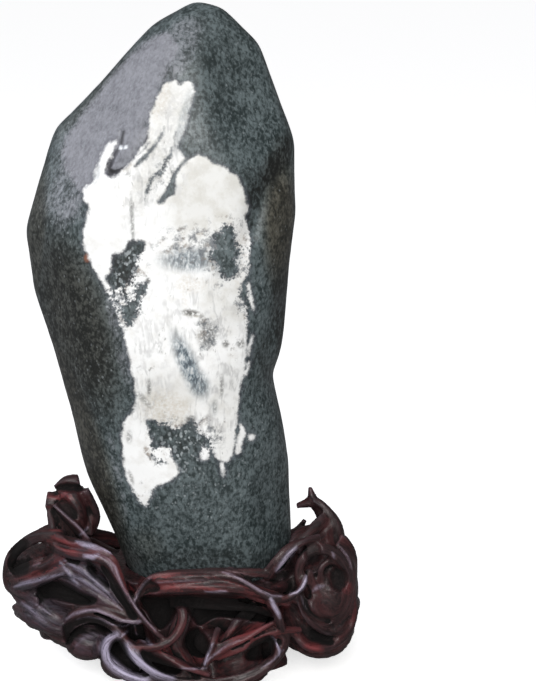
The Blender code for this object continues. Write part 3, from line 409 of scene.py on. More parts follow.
# Roots on the stand's front. Each point is (across, up, out, half width) in mm: across and up in the
# picture plane, and out from the basket's outside. Last comes the number of strands.
FRONT_ROOTS = {
    "rail": ([
        (-21, 36, -1, 3), (-14, 39.3, 0, 4.8), (0, 40.3, 1, 5.4), (14, 40.3, 1, 5.4), (29, 38.5, 1, 5),
        (42, 34, 1, 4.2), (55, 31.5, 0, 3.4),
    ], 3),
    "rail_lip": ([
        (-25, 28.5, 1, 2.2), (-21, 36, 1.5, 2.3), (-16, 42.3, 1, 2.4), (-8, 44.6, 0, 2.8), (9, 45.4, -1, 3),
        (26, 45.8, -1, 3), (40, 45.4, -2, 3), (51, 43.5, -4, 2.8),
    ], 1),
    "rail_hook": ([
        (17, 44.5, 1, 1.8), (29, 42, 3, 2.2), (37, 37.5, 4, 2.3), (44, 33.2, 4.5, 2.4),
        (51, 32.6, 4.5, 2.4), (57.5, 35.5, 4.5, 2.4), (61.5, 40.5, 4, 2.2), (63, 45, 2, 1.6),
    ], 1),
    "rail_drop": ([(41, 36, 2, 2.2), (45.5, 29.5, 4, 3), (48.5, 23.5, 3.5, 3), (50.5, 16, 0, 2.6)], 1),
    "rail_under": ([
        (-6, 31, -8, 3), (10, 31, -6, 3.8), (24, 29.5, -5, 4), (35, 28, -4, 3.8), (47, 25, -2, 3.2),
    ], 2),
    "left_sweep": ([
        (-68, 63.5, -3, 4), (-60, 59.5, 0, 5.4), (-51, 57, 2, 5.6), (-42, 55, 3, 4.8), (-35, 50.5, 3.5, 4),
        (-31, 43, 3.5, 3.4), (-28, 36, 3, 3.1), (-24.5, 30, 3, 3), (-19.5, 23, 3, 3), (-13.5, 16, 2, 3),
        (-7, 10.5, 0, 2.6),
    ], 2),
    "left_sweep_inner": ([
        (-50, 52, 0, 2.4), (-41, 50, 2, 2.8), (-36, 44, 2, 2.8), (-33, 37, 2, 2.6), (-28.5, 30, 2, 2.4),
        (-22, 23, 1, 2.2),
    ], 1),
    "left_leaf": ([
        (-64, 48, -3, 3.6), (-57, 44, -1, 5.6), (-50, 41, 0, 6.4), (-43, 36, 0, 6), (-36, 30.5, 0, 4.8),
        (-28.5, 25.5, 0, 3.4), (-20, 21.5, 0, 2.4),
    ], 3),
    "left_leaf_upper": ([
        (-61, 50, -2, 2.8), (-51, 48.5, 0, 3.6), (-43.5, 42.5, 0, 3.4), (-37, 36.5, 0, 3),
        (-31, 29, 0, 2.4),
    ], 1),
    "ear_rim": ([
        (-58, 64.5, -5, 3.6), (-70, 64, -1, 4), (-78, 60.5, 0, 4), (-84, 55, 0, 4), (-86.8, 48, 0, 4),
        (-86.5, 40, 0, 3.8), (-81, 35, -2, 3.4),
    ], 1),
    "ear_band": ([(-85.5, 43.5, 0, 3.6), (-76, 46.8, 1, 4.6), (-67, 50, 1, 4.6), (-58, 54.5, 0, 3.6)], 3),
    "ear_lower_edge": ([
        (-85, 37.5, -1, 2.4), (-78.5, 39.6, 2, 3.2), (-71, 41.4, 3, 3.4), (-65, 44, 3, 3.2),
        (-59.5, 46.3, 3, 2.8), (-54, 44, 2, 2),
    ], 1),
    "left_back_hollow": ([(-72, 31, -6, 3.4), (-61, 30.8, -5, 4), (-53, 28.5, -4, 4), (-44, 27, -3, 3)], 2),
    "low_left_arch": ([
        (-58, 20, -2, 2.6), (-51, 26, 1, 3.3), (-43.5, 28.2, 2, 3.5), (-36, 26, 2.5, 3.3),
        (-28.5, 22, 3, 3), (-20, 21, 3, 2.4),
    ], 2),
    "low_left_arch_inner": ([
        (-60, 12, -3, 2.6), (-54.5, 19.6, 0, 2.8), (-46, 23, 1, 3), (-38.5, 21.2, 2, 2.8),
        (-32, 16.8, 2, 2.8), (-27, 11, 1, 2.4),
    ], 1),
    "paw": ([
        (-83, 27.5, -3, 3.6), (-76.5, 26, -1, 6.4), (-70.5, 22.5, -1, 7.2), (-63.5, 18, -1, 6.6),
        (-56, 15, -2, 5.4),
    ], 3),
    "ring_left": ([
        (-30, 15.5, 1, 2.6), (-36, 11.5, 2, 3.2), (-38.2, 5, 2, 3.2), (-35.2, -1, 2, 3.2),
        (-28, -5.8, 2, 3.2), (-18.5, -8.5, 1, 3.2), (-7, -10, 0, 3),
    ], 1),
    "ring_inner": ([
        (-31, 14.5, 2, 2.6), (-27, 8, 3, 3.4), (-22.5, 3, 3.5, 3.5), (-17, -1.5, 3, 3.4),
        (-11, -5.5, 2, 3.2), (-3, -8.5, 0, 2.8),
    ], 1),
    "thread": ([
        (-29.5, 12.5, 2, 2.4), (-21, 8.5, 3, 2.8), (-13, 8.5, 3, 2.8), (-6, 11.5, 2, 2.8), (-1, 17.5, 0, 3),
        (0.5, 25, -3, 3.2), (-2, 31, -7, 3),
    ], 1),
    "low_sweep": ([
        (-23, 7, 1, 2.8), (-13.5, 4.5, 2, 3.6), (-5, 1.5, 2, 3.6), (4, -2, 2, 3.4), (14, -6, 1, 2.8),
    ], 2),
    "front_foot_rim": ([
        (-26, -6, 0, 3.2), (-8, -9, 0, 3.8), (9, -10.5, 0, 4), (24, -9.5, 0, 4), (37, -5, 0, 3.8),
        (45.5, 1.5, 0, 3.6), (50.5, 8.5, 0, 3.6), (51, 14, 0, 3.2), (45, 17, -1, 2.6),
    ], 3),
    "red_diagonal": ([
        (11, -1, 0, 2), (16, 5, 2, 2.8), (23.5, 9.8, 3, 3.1), (31.5, 13.2, 3, 3.1), (38, 16.6, 2, 3),
        (47, 21, 0, 2.6),
    ], 2),
    "red_diagonal_lower": ([
        (17, 3, 0, 2.4), (29, 7.6, 1, 3), (40, 13, 1, 3), (50, 16.5, 0, 2.8), (60, 17, -2, 2.8),
    ], 1),
    "short_upright": ([(11.5, -3, 1, 2), (14, 5.5, 2.5, 2.4), (16, 11, 2, 2.4), (18.5, 18, -4, 2.4)], 1),
    "centre_upright": ([
        (4, 30, -10, 4), (0, 21, -7, 4.6), (-3, 12, -6, 4.8), (1, 3, -5, 4.2), (9, -5, -3, 3.4),
    ], 3),
    "centre_root": ([(38, 30, -8, 3), (30, 22, -7, 4.4), (22, 13, -6, 4.6), (14, 4, -5, 4)], 2),
    "hole_lip": ([(42.5, 15.5, 0, 2.2), (46, 9.5, 1, 2.6), (46.5, 4, 1, 2.6), (42, -2, 0, 2.2)], 1),
    "rim_by_stone": ([
        (42, 43.5, -3, 2.8), (47.5, 50.5, 0, 3.4), (53, 56.5, 0, 3.8), (60, 61, 0, 4.2), (69, 63, -2, 4),
    ], 2),
    "whorl": ([
        (71, 37, -3, 2.8), (65.5, 30.5, 1, 3.4), (67, 24.5, 2, 3.6), (74, 22, 2, 3.7), (80.5, 27.5, 2, 3.8),
        (83, 38, 2, 3.8), (81.5, 48, 2, 3.9), (76, 55.5, 2, 4), (68, 57.5, 2, 4), (61, 53, 1, 3.6),
        (58.5, 46, 0, 3.4), (59.5, 38, 0, 3.2), (57.5, 30, -1, 2.8),
    ], 1),
    "whorl_eye_lip": ([(69.5, 42, -1, 2.4), (70, 48.5, 0, 2.8), (75, 51.5, 0, 2.8), (80, 47.5, 0, 2.2)], 1),
    "whorl_inner": ([
        (63, 48, -3, 3), (64.5, 41, -2, 3.2), (68, 35, -1, 3.2), (74, 31, -1, 3.2), (78, 35, -1, 2.8),
    ], 1),
    "whorl_fold": ([
        (59.5, 36, 0, 2.6), (61.5, 26.5, 1, 3.2), (67, 19, 1, 3.6), (74, 15.5, 1, 3.6), (82, 18, 0, 2.8),
    ], 2),
    "outer_shell": ([
        (78, 62, -4, 4.4), (83.8, 56.5, -1, 4.6), (86, 48, 0, 4.6), (86, 37, 0, 4.6), (86.3, 26.5, 0, 4.6),
        (83, 17, 0, 5), (75.5, 10.5, 0, 5), (68.5, 8.8, 0, 5), (62, 10.5, -1, 4.6), (57, 16, -3, 4),
    ], 2),
}

# The two horns that rise beside the stone, as (across, up, depth, half width), with depth from the middle.
HORN_ROOTS = {
    "left_trunk": ([
        (-53, 48, -12, 11), (-55, 60, -10, 11.2), (-55.5, 70, -8, 11.4), (-56, 79, -8, 11.4),
        (-55.5, 86, -7, 9.4), (-54.5, 92, -6, 5),
    ], 3),
    "left_nub": ([(-58, 80.5, -10, 6.4), (-67.8, 82, -11, 5)], 1),
    "left_lobe": ([(-50, 88, -9, 6), (-47, 80, -9, 6), (-44.5, 73, -9, 5.6), (-45.5, 65, -10, 5)], 2),
    "left_crown": ([(-62, 86.5, -10, 4.6), (-57, 90.5, -9, 5), (-51, 92, -8, 4)], 1),
    "left_crease": ([(-63, 80, -17, 2.4), (-57, 73, -21, 2.8), (-51, 66, -21, 3), (-46, 60, -20, 2.6)], 1),
    "left_stem_edge": ([
        (-66, 78, -12, 2.4), (-65, 71, -17, 2.8), (-63.5, 64, -21, 3), (-56, 58, -26, 2.8),
    ], 1),
    "left_horn_back": ([(-50, 46, 8, 9), (-53, 58, 4, 8), (-55, 70, -1, 6)], 2),
    "left_back_rim": ([(-52, 60, 8, 3), (-45, 60.5, 13, 3.2), (-37, 57.5, 18, 3.4), (-28, 54, 22, 3.6)], 2),
    "right_base": ([
        (77, 38, -8, 9), (77.5, 50, -8, 9), (76, 61, -7, 9), (74.5, 70, -5, 7.6), (70, 77.5, -3, 6.2),
        (65, 82, -2, 5),
    ], 2),
    "right_tip_up": ([(66, 80.5, -2, 4.4), (64.2, 88.5, -2, 1.6)], 1),
    "right_tip_left": ([(66, 81.5, -2, 4.4), (57.5, 79, -2, 2)], 1),
    "right_throat": ([(73, 71, -6, 6), (67, 66, -10, 7), (61, 62, -15, 6.6), (56, 57, -20, 5)], 3),
}

# Roots that run round the stand's two ends, as (x, y, z, half width) in mm.
END_ROOTS = {
    "left_upper_end": ([
        (-72, -30, 46, 4), (-85, -17, 47, 4.6), (-88.5, 0, 45, 4.8), (-85, 17, 40, 4.6), (-72, 30, 34, 4),
    ], 2),
    "left_middle_end": ([
        (-66, -34, 36, 4), (-79, -18, 33, 4.4), (-84, 0, 34, 4.6), (-80, 18, 30, 4.4), (-66, 34, 24, 4),
    ], 2),
    "left_lower_end": ([
        (-58, -32, 32, 3.6), (-71, -20, 27, 4.4), (-75, 0, 23, 4.8), (-70, 20, 19, 4.6), (-54, 36, 15, 4),
    ], 2),
    "right_upper_end": ([(76, -26, 54, 4), (84, -12, 55, 4.6), (85.5, 2, 52, 4.6), (80, 24, 42, 4)], 2),
    "right_middle_end": ([
        (78, -31, 33, 4), (86, -14, 37, 4.6), (88, 0, 36, 4.8), (85, 16, 31, 4.6), (76, 32, 25, 4),
    ], 3),
    "right_lower_end": ([
        (76, -28, 30, 3.6), (83, -16, 25, 4.4), (85.5, 0, 21, 4.8), (81, 18, 16, 4.6), (68, 34, 12, 4),
    ], 2),
    "back_left_sweep": ([
        (-40, 40, 40, 3.4), (-28, 42, 30, 4), (-14, 44, 20, 4), (2, 45, 12, 4), (20, 44, 7, 3.6),
    ], 2),
    "back_right_sweep": ([(62, 36, 40, 3.4), (52, 40, 28, 4), (40, 43, 18, 4), (26, 45, 12, 3.6)], 2),
    "back_middle_drop": ([(6, 42, 50, 3), (12, 46, 38, 3.6), (9, 46, 26, 3.6), (14, 45, 12, 3.4)], 1),
}

# Rounded lumps of wood: (x, y, z) of the middle and the three half sizes, in mm.
LUMPS = {
    "left_shoulder": ((-50, 0, 42), (38, 34, 17)),
    "left_ear_back": ((-72, -1, 54), (19, 20, 12)),
    "left_ear_boss": ((-74, -20, 57), (9, 9, 9)),
    "left_low_boss": ((-48, -25, 24), (12, 11, 9.5)),
    "left_low_boss_back": ((-48, 25, 22), (12, 11, 10)),
    "left_keel": ((-46, 0, 26), (30, 28, 15)),
    "left_ring_back": ((-31, -27, 14), (11, 11, 9)),
    "right_shoulder": ((66, -1, 34), (24, 28, 25)),
    "right_low_boss": ((70, -14, 25), (17, 16, 14)),
    "right_low_boss_back": ((70, 12, 20), (17, 15, 14)),
    "right_upper_boss": ((69, -7, 60), (15, 16, 12)),
    "knot": ((-20.5, -46, 28.5), (5.5, 5.5, 5.5)),
    "mauve_boss": ((15, -34, 28), (9, 8, 7)),
    "whorl_knob": ((69, -31, 47), (4.4, 5, 4.4)),
}

# The ring of wood round the stone's foot: its middle (x, y), half width, half depth, height in front and
# radius, and how it slopes down to the back, where the front hides it.
SEAT_RING = {"middle": (12, -1), "half_width": 46, "half_depth": 36, "front_height": 55.5, "radius": 4.4}
SEAT_RING_SLOPE = 0.19
SEAT_RING_POINTS = 24

# The front's lower roots run round the back as well, mirrored in the middle plane.
BACK_ROOTS = [
    "rail", "rail_lip", "rail_hook", "rail_drop", "rail_under", "low_left_arch", "low_left_arch_inner",
    "ring_left", "ring_inner", "thread", "low_sweep", "front_foot_rim", "red_diagonal",
    "red_diagonal_lower", "short_upright", "centre_upright", "centre_root", "hole_lip",
]

# These have a twin at the back, lower by BACK_DROP for each mm of depth, so that the front hides it. The
# drop is in full from this height up, and fades to none at the floor.
BACK_DROP = 2.3 * math.tan(VIEW_TILT)
BACK_FULL_DROP_FROM = 60
TWINNED_ROOTS = [
    "left_sweep", "left_leaf", "left_leaf_upper", "ear_rim", "ear_band", "ear_lower_edge", "paw",
    "rim_by_stone", "whorl", "whorl_eye_lip", "whorl_inner", "whorl_fold", "outer_shell",
]

# Wood that fills the gaps between roots: the middle as (across, up, depth) and the three half sizes.
FILLINGS = {
    "whorl": ((72, 38, -12), (17, 23, 24)),
    "leaf": ((-50, 40, -16), (20, 23, 11)),
    "leaf_foot": ((-34, 30, -20), (14, 18, 9)),
    "paw": ((-64, 29, -12), (13, 10, 8)),
    "horn": ((-55, 74, -13), (8, 7, 16)),
}

# Where the front's roots melt into one another, as soft ovals, and how many rounds of smoothing do that.
MERGED_AREAS = {
    "whorl": ((326, 590), (36, 52), 0, 1.0),
    "leaf": ((84, 582), (30, 16), 30, 0.7),
    "paw": ((44, 612), (24, 14), 20, 0.6),
}
MERGED_ROUNDS = 26

# Hollows carved into the stand's front: outline in pixels, how deep in mm, and how dark their painted shade is,
# from 0 to 1.
CARVED_HOLLOWS = {
    "ear": ([
        (20, 539), (29, 543), (27, 553), (31, 564), (28, 574), (16, 576), (9, 565), (10, 551),
    ], 6, 1.0),
    "ear_crescent": ([(50, 544), (53, 551), (48, 560), (39, 565), (44, 558), (48, 551)], 3, 0.8),
    "under_leaf": ([
        (38, 588), (48, 583), (60, 582), (70, 586), (80, 592), (92, 597), (96, 601), (84, 603), (70, 602),
        (56, 599), (44, 596),
    ], 8, 1.0),
    "slit_upper": ([(88, 561), (92, 564), (97, 573), (95, 576), (90, 570)], 4, 1.0),
    "sweep_slit": ([
        (102, 566), (108, 570), (116, 581), (123, 592), (131, 606), (136, 617), (131, 616), (123, 604),
        (114, 592), (106, 578),
    ], 5, 0.9),
    "horn_top": ([
        (50, 491), (58, 486), (68, 484), (80, 486), (80, 490), (70, 491), (62, 490), (54, 494),
    ], 4, 1.0),
    "horn_middle": ([(57, 503), (63, 499), (70, 503), (76, 512), (74, 520), (68, 517), (62, 511)], 3, 0.8),
    "horn_low": ([(58, 513), (66, 519), (76, 528), (82, 536), (78, 541), (68, 540), (61, 528)], 2.5, 0.6),
    "under_arch": ([
        (64, 628), (70, 622), (80, 618), (92, 617), (104, 622), (110, 628), (104, 628), (94, 624),
        (82, 624), (74, 629), (70, 640), (66, 641),
    ], 6, 0.95),
    "ring_hole": ([
        (112, 645), (118, 640), (124, 645), (130, 657), (139, 671), (131, 669), (119, 661), (111, 653),
    ], 9, 1.0),
    "ring_hole_right": ([
        (142, 652), (152, 656), (166, 661), (180, 670), (170, 673), (156, 668), (146, 661),
    ], 7, 1.0),
    "knot_edge": ([(128, 628), (132, 626), (134, 634), (138, 643), (133, 642), (129, 636)], 4, 1.0),
    "under_rail": ([
        (143, 596), (160, 597), (190, 596), (215, 597), (240, 600), (262, 606), (272, 614), (268, 621),
        (250, 619), (236, 617), (215, 616), (200, 624), (192, 616), (186, 606), (176, 608), (170, 620),
        (160, 628), (150, 616), (143, 605),
    ], 9, 1.0),
    "rail_notch": ([
        (141, 583), (148, 580), (156, 584), (158, 590), (148, 593), (140, 598), (138, 592),
    ], 4, 0.8),
    "thread_right": ([
        (190, 632), (198, 630), (206, 638), (208, 650), (200, 656), (190, 652), (184, 644),
    ], 7, 0.95),
    "right_hole": ([
        (246, 655), (252, 645), (262, 639), (272, 637), (274, 645), (272, 654), (262, 658), (250, 659),
    ], 9, 1.0),
    "eye": ([(332, 572), (338, 568), (345, 572), (347, 580), (343, 589), (337, 590), (331, 583)], 3.5, 0.9),
    "whorl_valley": ([
        (300, 594), (304, 592), (306, 600), (310, 610), (320, 617), (330, 619), (328, 623), (316, 621),
        (306, 613), (301, 604),
    ], 3, 0.6),
    "whorl_upper": ([(306, 546), (314, 542), (320, 548), (319, 560), (312, 564), (306, 556)], 2.5, 0.5),
    "rim_notch": ([(272, 580), (278, 573), (286, 571), (288, 577), (280, 580), (274, 584)], 4, 0.9),
    "right_notch": ([(312, 630), (322, 634), (332, 641), (330, 644), (320, 640), (313, 635)], 2.5, 0.6),
}
HOLLOW_EDGE = 1.4
CREST_RISE = 0.7
CREST_EDGE = 0.35
CARVING_FADE_DEPTH = 15

# Crests on the stand's front, lighter from wear and painted highlight: (right, down, half width in mm) along
# each, how far it stands out in mm, how cool its colour is, and how light, both from 0 to 1.
CARVED_CRESTS = {
    "ring_outer": ([
        (117, 634, 1.5), (108, 640, 2.4), (105, 648, 2.9), (108, 658, 3.0), (116, 668, 3.0),
        (130, 676, 2.8), (146, 680, 2.2),
    ], 0.5, 1.0, 0.95),
    "ring_band": ([
        (127, 646, 1.8), (131, 655, 3.0), (138, 662, 3.6), (147, 668, 3.4), (158, 674, 2.4),
        (172, 678, 1.6),
    ], 0.6, 1.0, 1.0),
    "arch_outer": ([
        (66, 619, 0.5), (74, 614, 0.8), (84, 611, 1.0), (97, 610, 1.1), (108, 615, 1.0), (120, 621, 0.9),
        (131, 622, 0.8), (141, 621, 0.5),
    ], 0.5, 0.7, 0.6),
    "arch_inner": ([
        (76, 620, 0.4), (88, 617, 0.6), (100, 619, 0.6), (110, 624, 0.6), (122, 626, 0.6), (136, 623, 0.4),
    ], 0.4, 0.8, 0.5),
    "sweep_top": ([
        (76, 541, 0.6), (83, 544, 1.3), (94, 547, 1.4), (104, 550, 0.9), (112, 553, 0.8),
    ], 0.4, 1.0, 0.9),
    "sweep_low": ([(84, 556, 0.8), (92, 557, 1.5), (98, 555, 0.9)], 0.3, 1.0, 0.8),
    "sweep_crest": ([
        (99, 556, 0.6), (108, 560, 0.9), (115, 567, 0.9), (119, 578, 0.8), (124, 589, 0.7), (130, 598, 0.7),
        (137, 609, 0.7), (146, 621, 0.6), (156, 631, 0.4),
    ], 0.6, 0.55, 0.65),
    "sweep_inner": ([
        (104, 560, 0.4), (110, 566, 0.6), (116, 576, 0.6), (122, 588, 0.5), (130, 603, 0.5),
    ], 0.4, 0.5, 0.4),
    "horn_diagonal": ([
        (54, 506, 0.4), (62, 512, 0.6), (70, 519, 0.7), (78, 527, 0.7), (85, 534, 0.8), (89, 538, 0.5),
    ], 0.5, 0.6, 0.5),
    "horn_fork": ([(80, 535, 0.7), (84, 532, 0.8), (88, 527, 0.5)], 0.3, 0.8, 0.6),
    "ear_edge": ([
        (15, 587, 0.8), (22, 584, 1.1), (30, 582, 1.1), (42, 579, 0.9), (54, 576, 0.8), (63, 574, 0.6),
    ], 0.5, 1.0, 0.45),
    "ear_line": ([(20, 575, 0.4), (30, 567, 0.5), (40, 563, 0.5)], 0.3, 0.4, 0.4),
    "leaf_left": ([(60, 562, 0.6), (66, 569, 1.0), (72, 578, 1.0), (78, 585, 0.6)], 0.4, 1.0, 0.4),
    "leaf_middle": ([
        (64, 560, 0.5), (76, 567, 1.2), (88, 575, 1.3), (98, 584, 1.0), (108, 593, 0.7), (118, 603, 0.4),
    ], 0.5, 1.0, 0.42),
    "leaf_low": ([
        (70, 575, 0.5), (82, 580, 0.9), (94, 588, 0.8), (108, 598, 0.6), (122, 610, 0.5),
    ], 0.4, 0.9, 0.35),
    "paw_left": ([(22, 603, 0.8), (30, 609, 1.3), (38, 616, 1.2), (46, 622, 0.6)], 0.5, 0.9, 0.36),
    "paw_right": ([(30, 601, 0.5), (40, 607, 0.8), (50, 614, 0.6)], 0.3, 0.8, 0.3),
    "ball": ([(76, 646, 0.6), (84, 637, 1.2), (94, 634, 1.5), (102, 636, 0.9)], 0.2, 0.7, 0.25),
    "knot": ([(134, 632, 0.6), (140, 636, 1.5), (146, 641, 1.2), (152, 645, 0.6)], 0.3, 1.0, 0.5),
    "ring_top": ([(140, 622, 0.4), (132, 628, 0.7), (124, 634, 0.8), (118, 640, 0.5)], 0.4, 0.8, 0.6),
    "rail_end": ([(134, 602, 0.5), (138, 594, 0.7), (143, 585, 0.7), (150, 578, 0.5)], 0.5, 0.6, 0.75),
    "rail_middle": ([(152, 583, 0.4), (170, 582, 0.6), (190, 581, 0.5), (210, 580, 0.3)], 0.3, 0.4, 0.3),
    "rail_crest": ([
        (222, 572, 0.4), (232, 575, 0.7), (242, 580, 0.8), (252, 586, 0.8), (260, 591, 0.8),
        (269, 594, 0.6),
    ], 0.6, 0.6, 0.7),
    "rail_edge": ([(205, 592, 0.3), (215, 592, 0.6), (224, 591, 0.7), (228, 592, 0.3)], 0.2, 0.9, 0.6),
    "rail_top": ([(225, 570, 0.3), (240, 573, 0.5), (256, 578, 0.5), (270, 583, 0.4)], 0.3, 0.2, 0.35),
    "hook": ([
        (290, 594, 0.6), (298, 592, 0.9), (303, 587, 1.2), (305, 581, 1.2), (306, 576, 0.6),
    ], 0.6, 0.9, 0.9),
    "hook_low": ([(262, 592, 0.5), (272, 596, 0.8), (282, 596, 0.6)], 0.4, 0.7, 0.5),
    "stone_rim": ([(277, 571, 0.8), (284, 562, 1.8), (290, 554, 1.7), (296, 548, 0.8)], 0.4, 1.0, 0.6),
    "drop": ([(271, 599, 0.9), (274, 606, 1.2), (278, 613, 1.1), (280, 618, 0.6)], 0.6, 0.9, 0.9),
    "eye_light": ([(313, 591, 0.6), (318, 587, 1.3), (324, 586, 0.6)], 0.3, 0.8, 0.4),
    "whorl_line": ([(340, 547, 0.4), (346, 554, 0.7), (350, 562, 0.6), (352, 570, 0.3)], 0.4, 0.5, 0.6),
    "whorl_spot": ([(332, 552, 0.4), (333.5, 555, 0.9), (334, 558, 0.4)], 0.2, 0.7, 0.5),
    "whorl_low": ([(301, 596, 0.4), (303, 602, 0.6), (306, 609, 0.4)], 0.3, 0.7, 0.5),
    "diagonal_tip": ([(205, 664, 0.8), (208, 654, 0.7), (213, 643, 0.5)], 0.5, 1.0, 0.8),
    "diagonal_edge": ([(206, 662, 0.6), (216, 653, 0.6), (228, 645, 0.5), (240, 640, 0.3)], 0.3, 0.7, 0.6),
    "hole_edge": ([(272, 637, 0.5), (276, 642, 0.8), (279, 649, 0.8), (279.5, 656, 0.5)], 0.5, 1.0, 0.7),
    "foot_left": ([(180, 668, 0.4), (192, 669, 0.6), (206, 668, 0.5)], 0.3, 0.8, 0.5),
    "foot_right": ([(262, 668, 0.4), (274, 660, 0.6), (283, 650, 0.5)], 0.3, 0.8, 0.4),
}

# Soft oval areas of the stand's front that are redder, or cooler and greyer, than the rest.
RED_AREAS = {
    "rail_upper": ((180, 578), (35, 5), 0, 1.0),
    "rail_lower": ((190, 588), (32, 5), 0, 1.0),
    "rail_right": ((225, 584), (20, 5), 10, 0.8),
    "horn_top": ((60, 497), (15, 6), 0, 0.9),
    "stem": ((56, 528), (7, 14), -10, 0.5),
    "sweep": ((66, 547), (16, 7), 38, 0.9),
    "ear_band": ((42, 569), (24, 6), -22, 0.7),
    "beside_rail": ((129, 590), (9, 6), 45, 0.9),
    "under_rail": ((254, 607), (15, 6), 3, 0.9),
    "diagonal": ((245, 631), (30, 6), -17, 1.0),
    "low_sweep": ((172, 652), (36, 6), 14, 0.8),
    "ring": ((142, 648), (15, 4), 0, 0.7),
    "whorl_foot": ((311, 650), (12, 7), 0, 1.0),
    "right_edge": ((357, 618), (8, 14), 0, 0.5),
    "eye_right": ((348, 588), (6, 7), 0, 0.5),
    "drop_right": ((285, 602), (6, 6), 0, 0.6),
}
COOL_AREAS = {
    "leaf": ((86, 580), (34, 17), 32, 0.9),
    "paw": ((42, 612), (27, 16), 25, 0.7),
    "ball": ((90, 642), (20, 15), 0, 0.6),
    "ear_edge": ((36, 583), (28, 6), -12, 0.7),
    "ring": ((126, 660), (28, 15), 30, 0.5),
    "sweep_top": ((92, 549), (20, 9), 10, 0.6),
    "hollow_behind": ((60, 592), (30, 10), 0, 0.4),
}

# How red the wood is along a root, from 0 to 1. The others have RED_ELSEWHERE.
REDNESS = {
    "rail": 0.9,
    "rail_lip": 0.35,
    "rail_hook": 0.3,
    "left_sweep": 0.85,
    "ear_band": 0.7,
    "thread": 0.6,
    "low_sweep": 0.75,
    "red_diagonal": 1.0,
    "red_diagonal_lower": 0.9,
    "rail_under": 0.8,
    "front_foot_rim": 0.5,
    "outer_shell": 0.45,
    "left_trunk": 0.6,
    "left_nub": 0.9,
}
RED_ELSEWHERE = 0.25

ROOT_SIDES = 26
ROOT_STEP = 1.2
ROOT_THICKNESS = 0.85
CREST_POWER = 1.6
OUTWARD_FROM = (9, 0, 30)
OUTWARD_WEIGHTS = (0.6, 1.6, 0.3)

# In a bundle, each strand's distance from the middle and its radius, as shares of the half width.
STRAND_REACH = 0.55
STRAND_FLATNESS = 0.6
STRAND_SIZE = 0.58
STRAND_TURNS = 0.35

# Flutes along each strand: how many, how deep as a share of its radius, and their turn per mm.
STRAND_FLUTES = ((5, 0.085, 0.045), (3, 0.05, -0.03))

STAND_VOXEL = 0.8
STAND_SMOOTHING = 2
STAND_TRIANGLES = 186000
SEAT_GAP = 0.35
CUTTER_SIDES = 150
LUMP_DETAIL = 4
FLOOR_BLOCK = (400, 400, 100)

# Carved grooves along the roots: how far apart in mm, and how deep. They are this much longer than wide, and
# fade out this near a root's middle line.
GROOVES = ((2.6, 0.26), (1.3, 0.10))
GROOVE_STRETCH = 9
GROOVE_FADE = 2.5

# How the nearest root is found: how far apart the roots' grain starts, how many places are tried, and how much
# further a thick root reaches.
GRAIN_SHIFT = 200
NEAREST_TRIED = 6
THICK_ROOT_REACH = 0.8

# How the hollows of the wood, which get painted shade, are found: rays from each point, how far off it they
# start, and how far they look.
HOLLOW_RAYS = 14
RAY_START = 0.25
HOLLOW_REACH = 13.0
INSIDE_BOX = 0.03

WOOD_COLOURS = {
    "wood": ((0.006, 0.004, 0.0045), (0.036, 0.019, 0.020)),
    "red": ((0.018, 0.006, 0.007), (0.150, 0.030, 0.032)),
    "grey": ((0.010, 0.010, 0.014), (0.052, 0.049, 0.068)),
    "edge": (0.15, 0.105, 0.13),
    # The crests' lavender, partly wear and partly painted highlight.
    "crest": ((0.26, 0.14, 0.14), (0.43, 0.39, 0.52)),
    # A near-black for the shade painted in hollows.
    "hollow_shade": (0.0028, 0.0020, 0.0021),
}
WOOD_SPECULAR = 0.3
WOOD_BUMP = 0.7

# The sockets of a mix node that take and give colours.
MIX_COLOUR_INPUTS = (6, 7)
MIX_COLOUR_OUTPUT = 2

# The lights, in metres, and the room. The floor glows to the eye alone, and throws back little light.
SUN = {"energy": 0.80, "angle": 50, "turn": (22, -16), "colour": (0.95, 0.96, 1.0)}
AREA_LIGHTS = {
    "window": {"at": (-1.02, 0.02, 0.78), "towards": (-0.02, 0, 0.24), "size": 0.72, "power": 3.5,
               "colour": (0.90, 0.91, 1.0)},
    "front": {"at": (0.05, -1.60, 0.86), "towards": (0, 0, 0.14), "size": 0.9, "power": 28.5,
              "colour": (1.0, 0.995, 0.98)},
}
ROOM_LIGHT = 0.16
FLOOR_RADIUS = 6.0
FLOOR_SIDES = 96
FLOOR_DROP = 0.0002
FLOOR_COLOURS = ((0.90, 0.90, 0.90), (0.93, 0.93, 0.93))
FLOOR_BOUNCE = (0.30, 0.30, 0.30)
FLOOR_GLOW = 0.62
FLOOR_ROUGHNESS = 0.9
FLOOR_SPECULAR = 0.1


class Field:
    """A value in a material that varies from place to place, and that can be reckoned with like a number."""

    def __init__(self, graph, socket):
        self.graph, self.socket = graph, socket

    def __add__(self, other):
        return self.graph.calc("ADD", self, other)

    def __sub__(self, other):
        return self.graph.calc("SUBTRACT", self, other)

    def __mul__(self, other):
        return self.graph.calc("MULTIPLY", self, other)

    def fade(self, low, high, start=0.0, end=1.0):
        """A smooth change from start to end while this goes from low to high."""
        inputs = {"Value": self, "From Min": low, "From Max": high, "To Min": start, "To Max": end}
        return self.graph.node("MapRange", "Result", inputs, interpolation_type="SMOOTHSTEP")


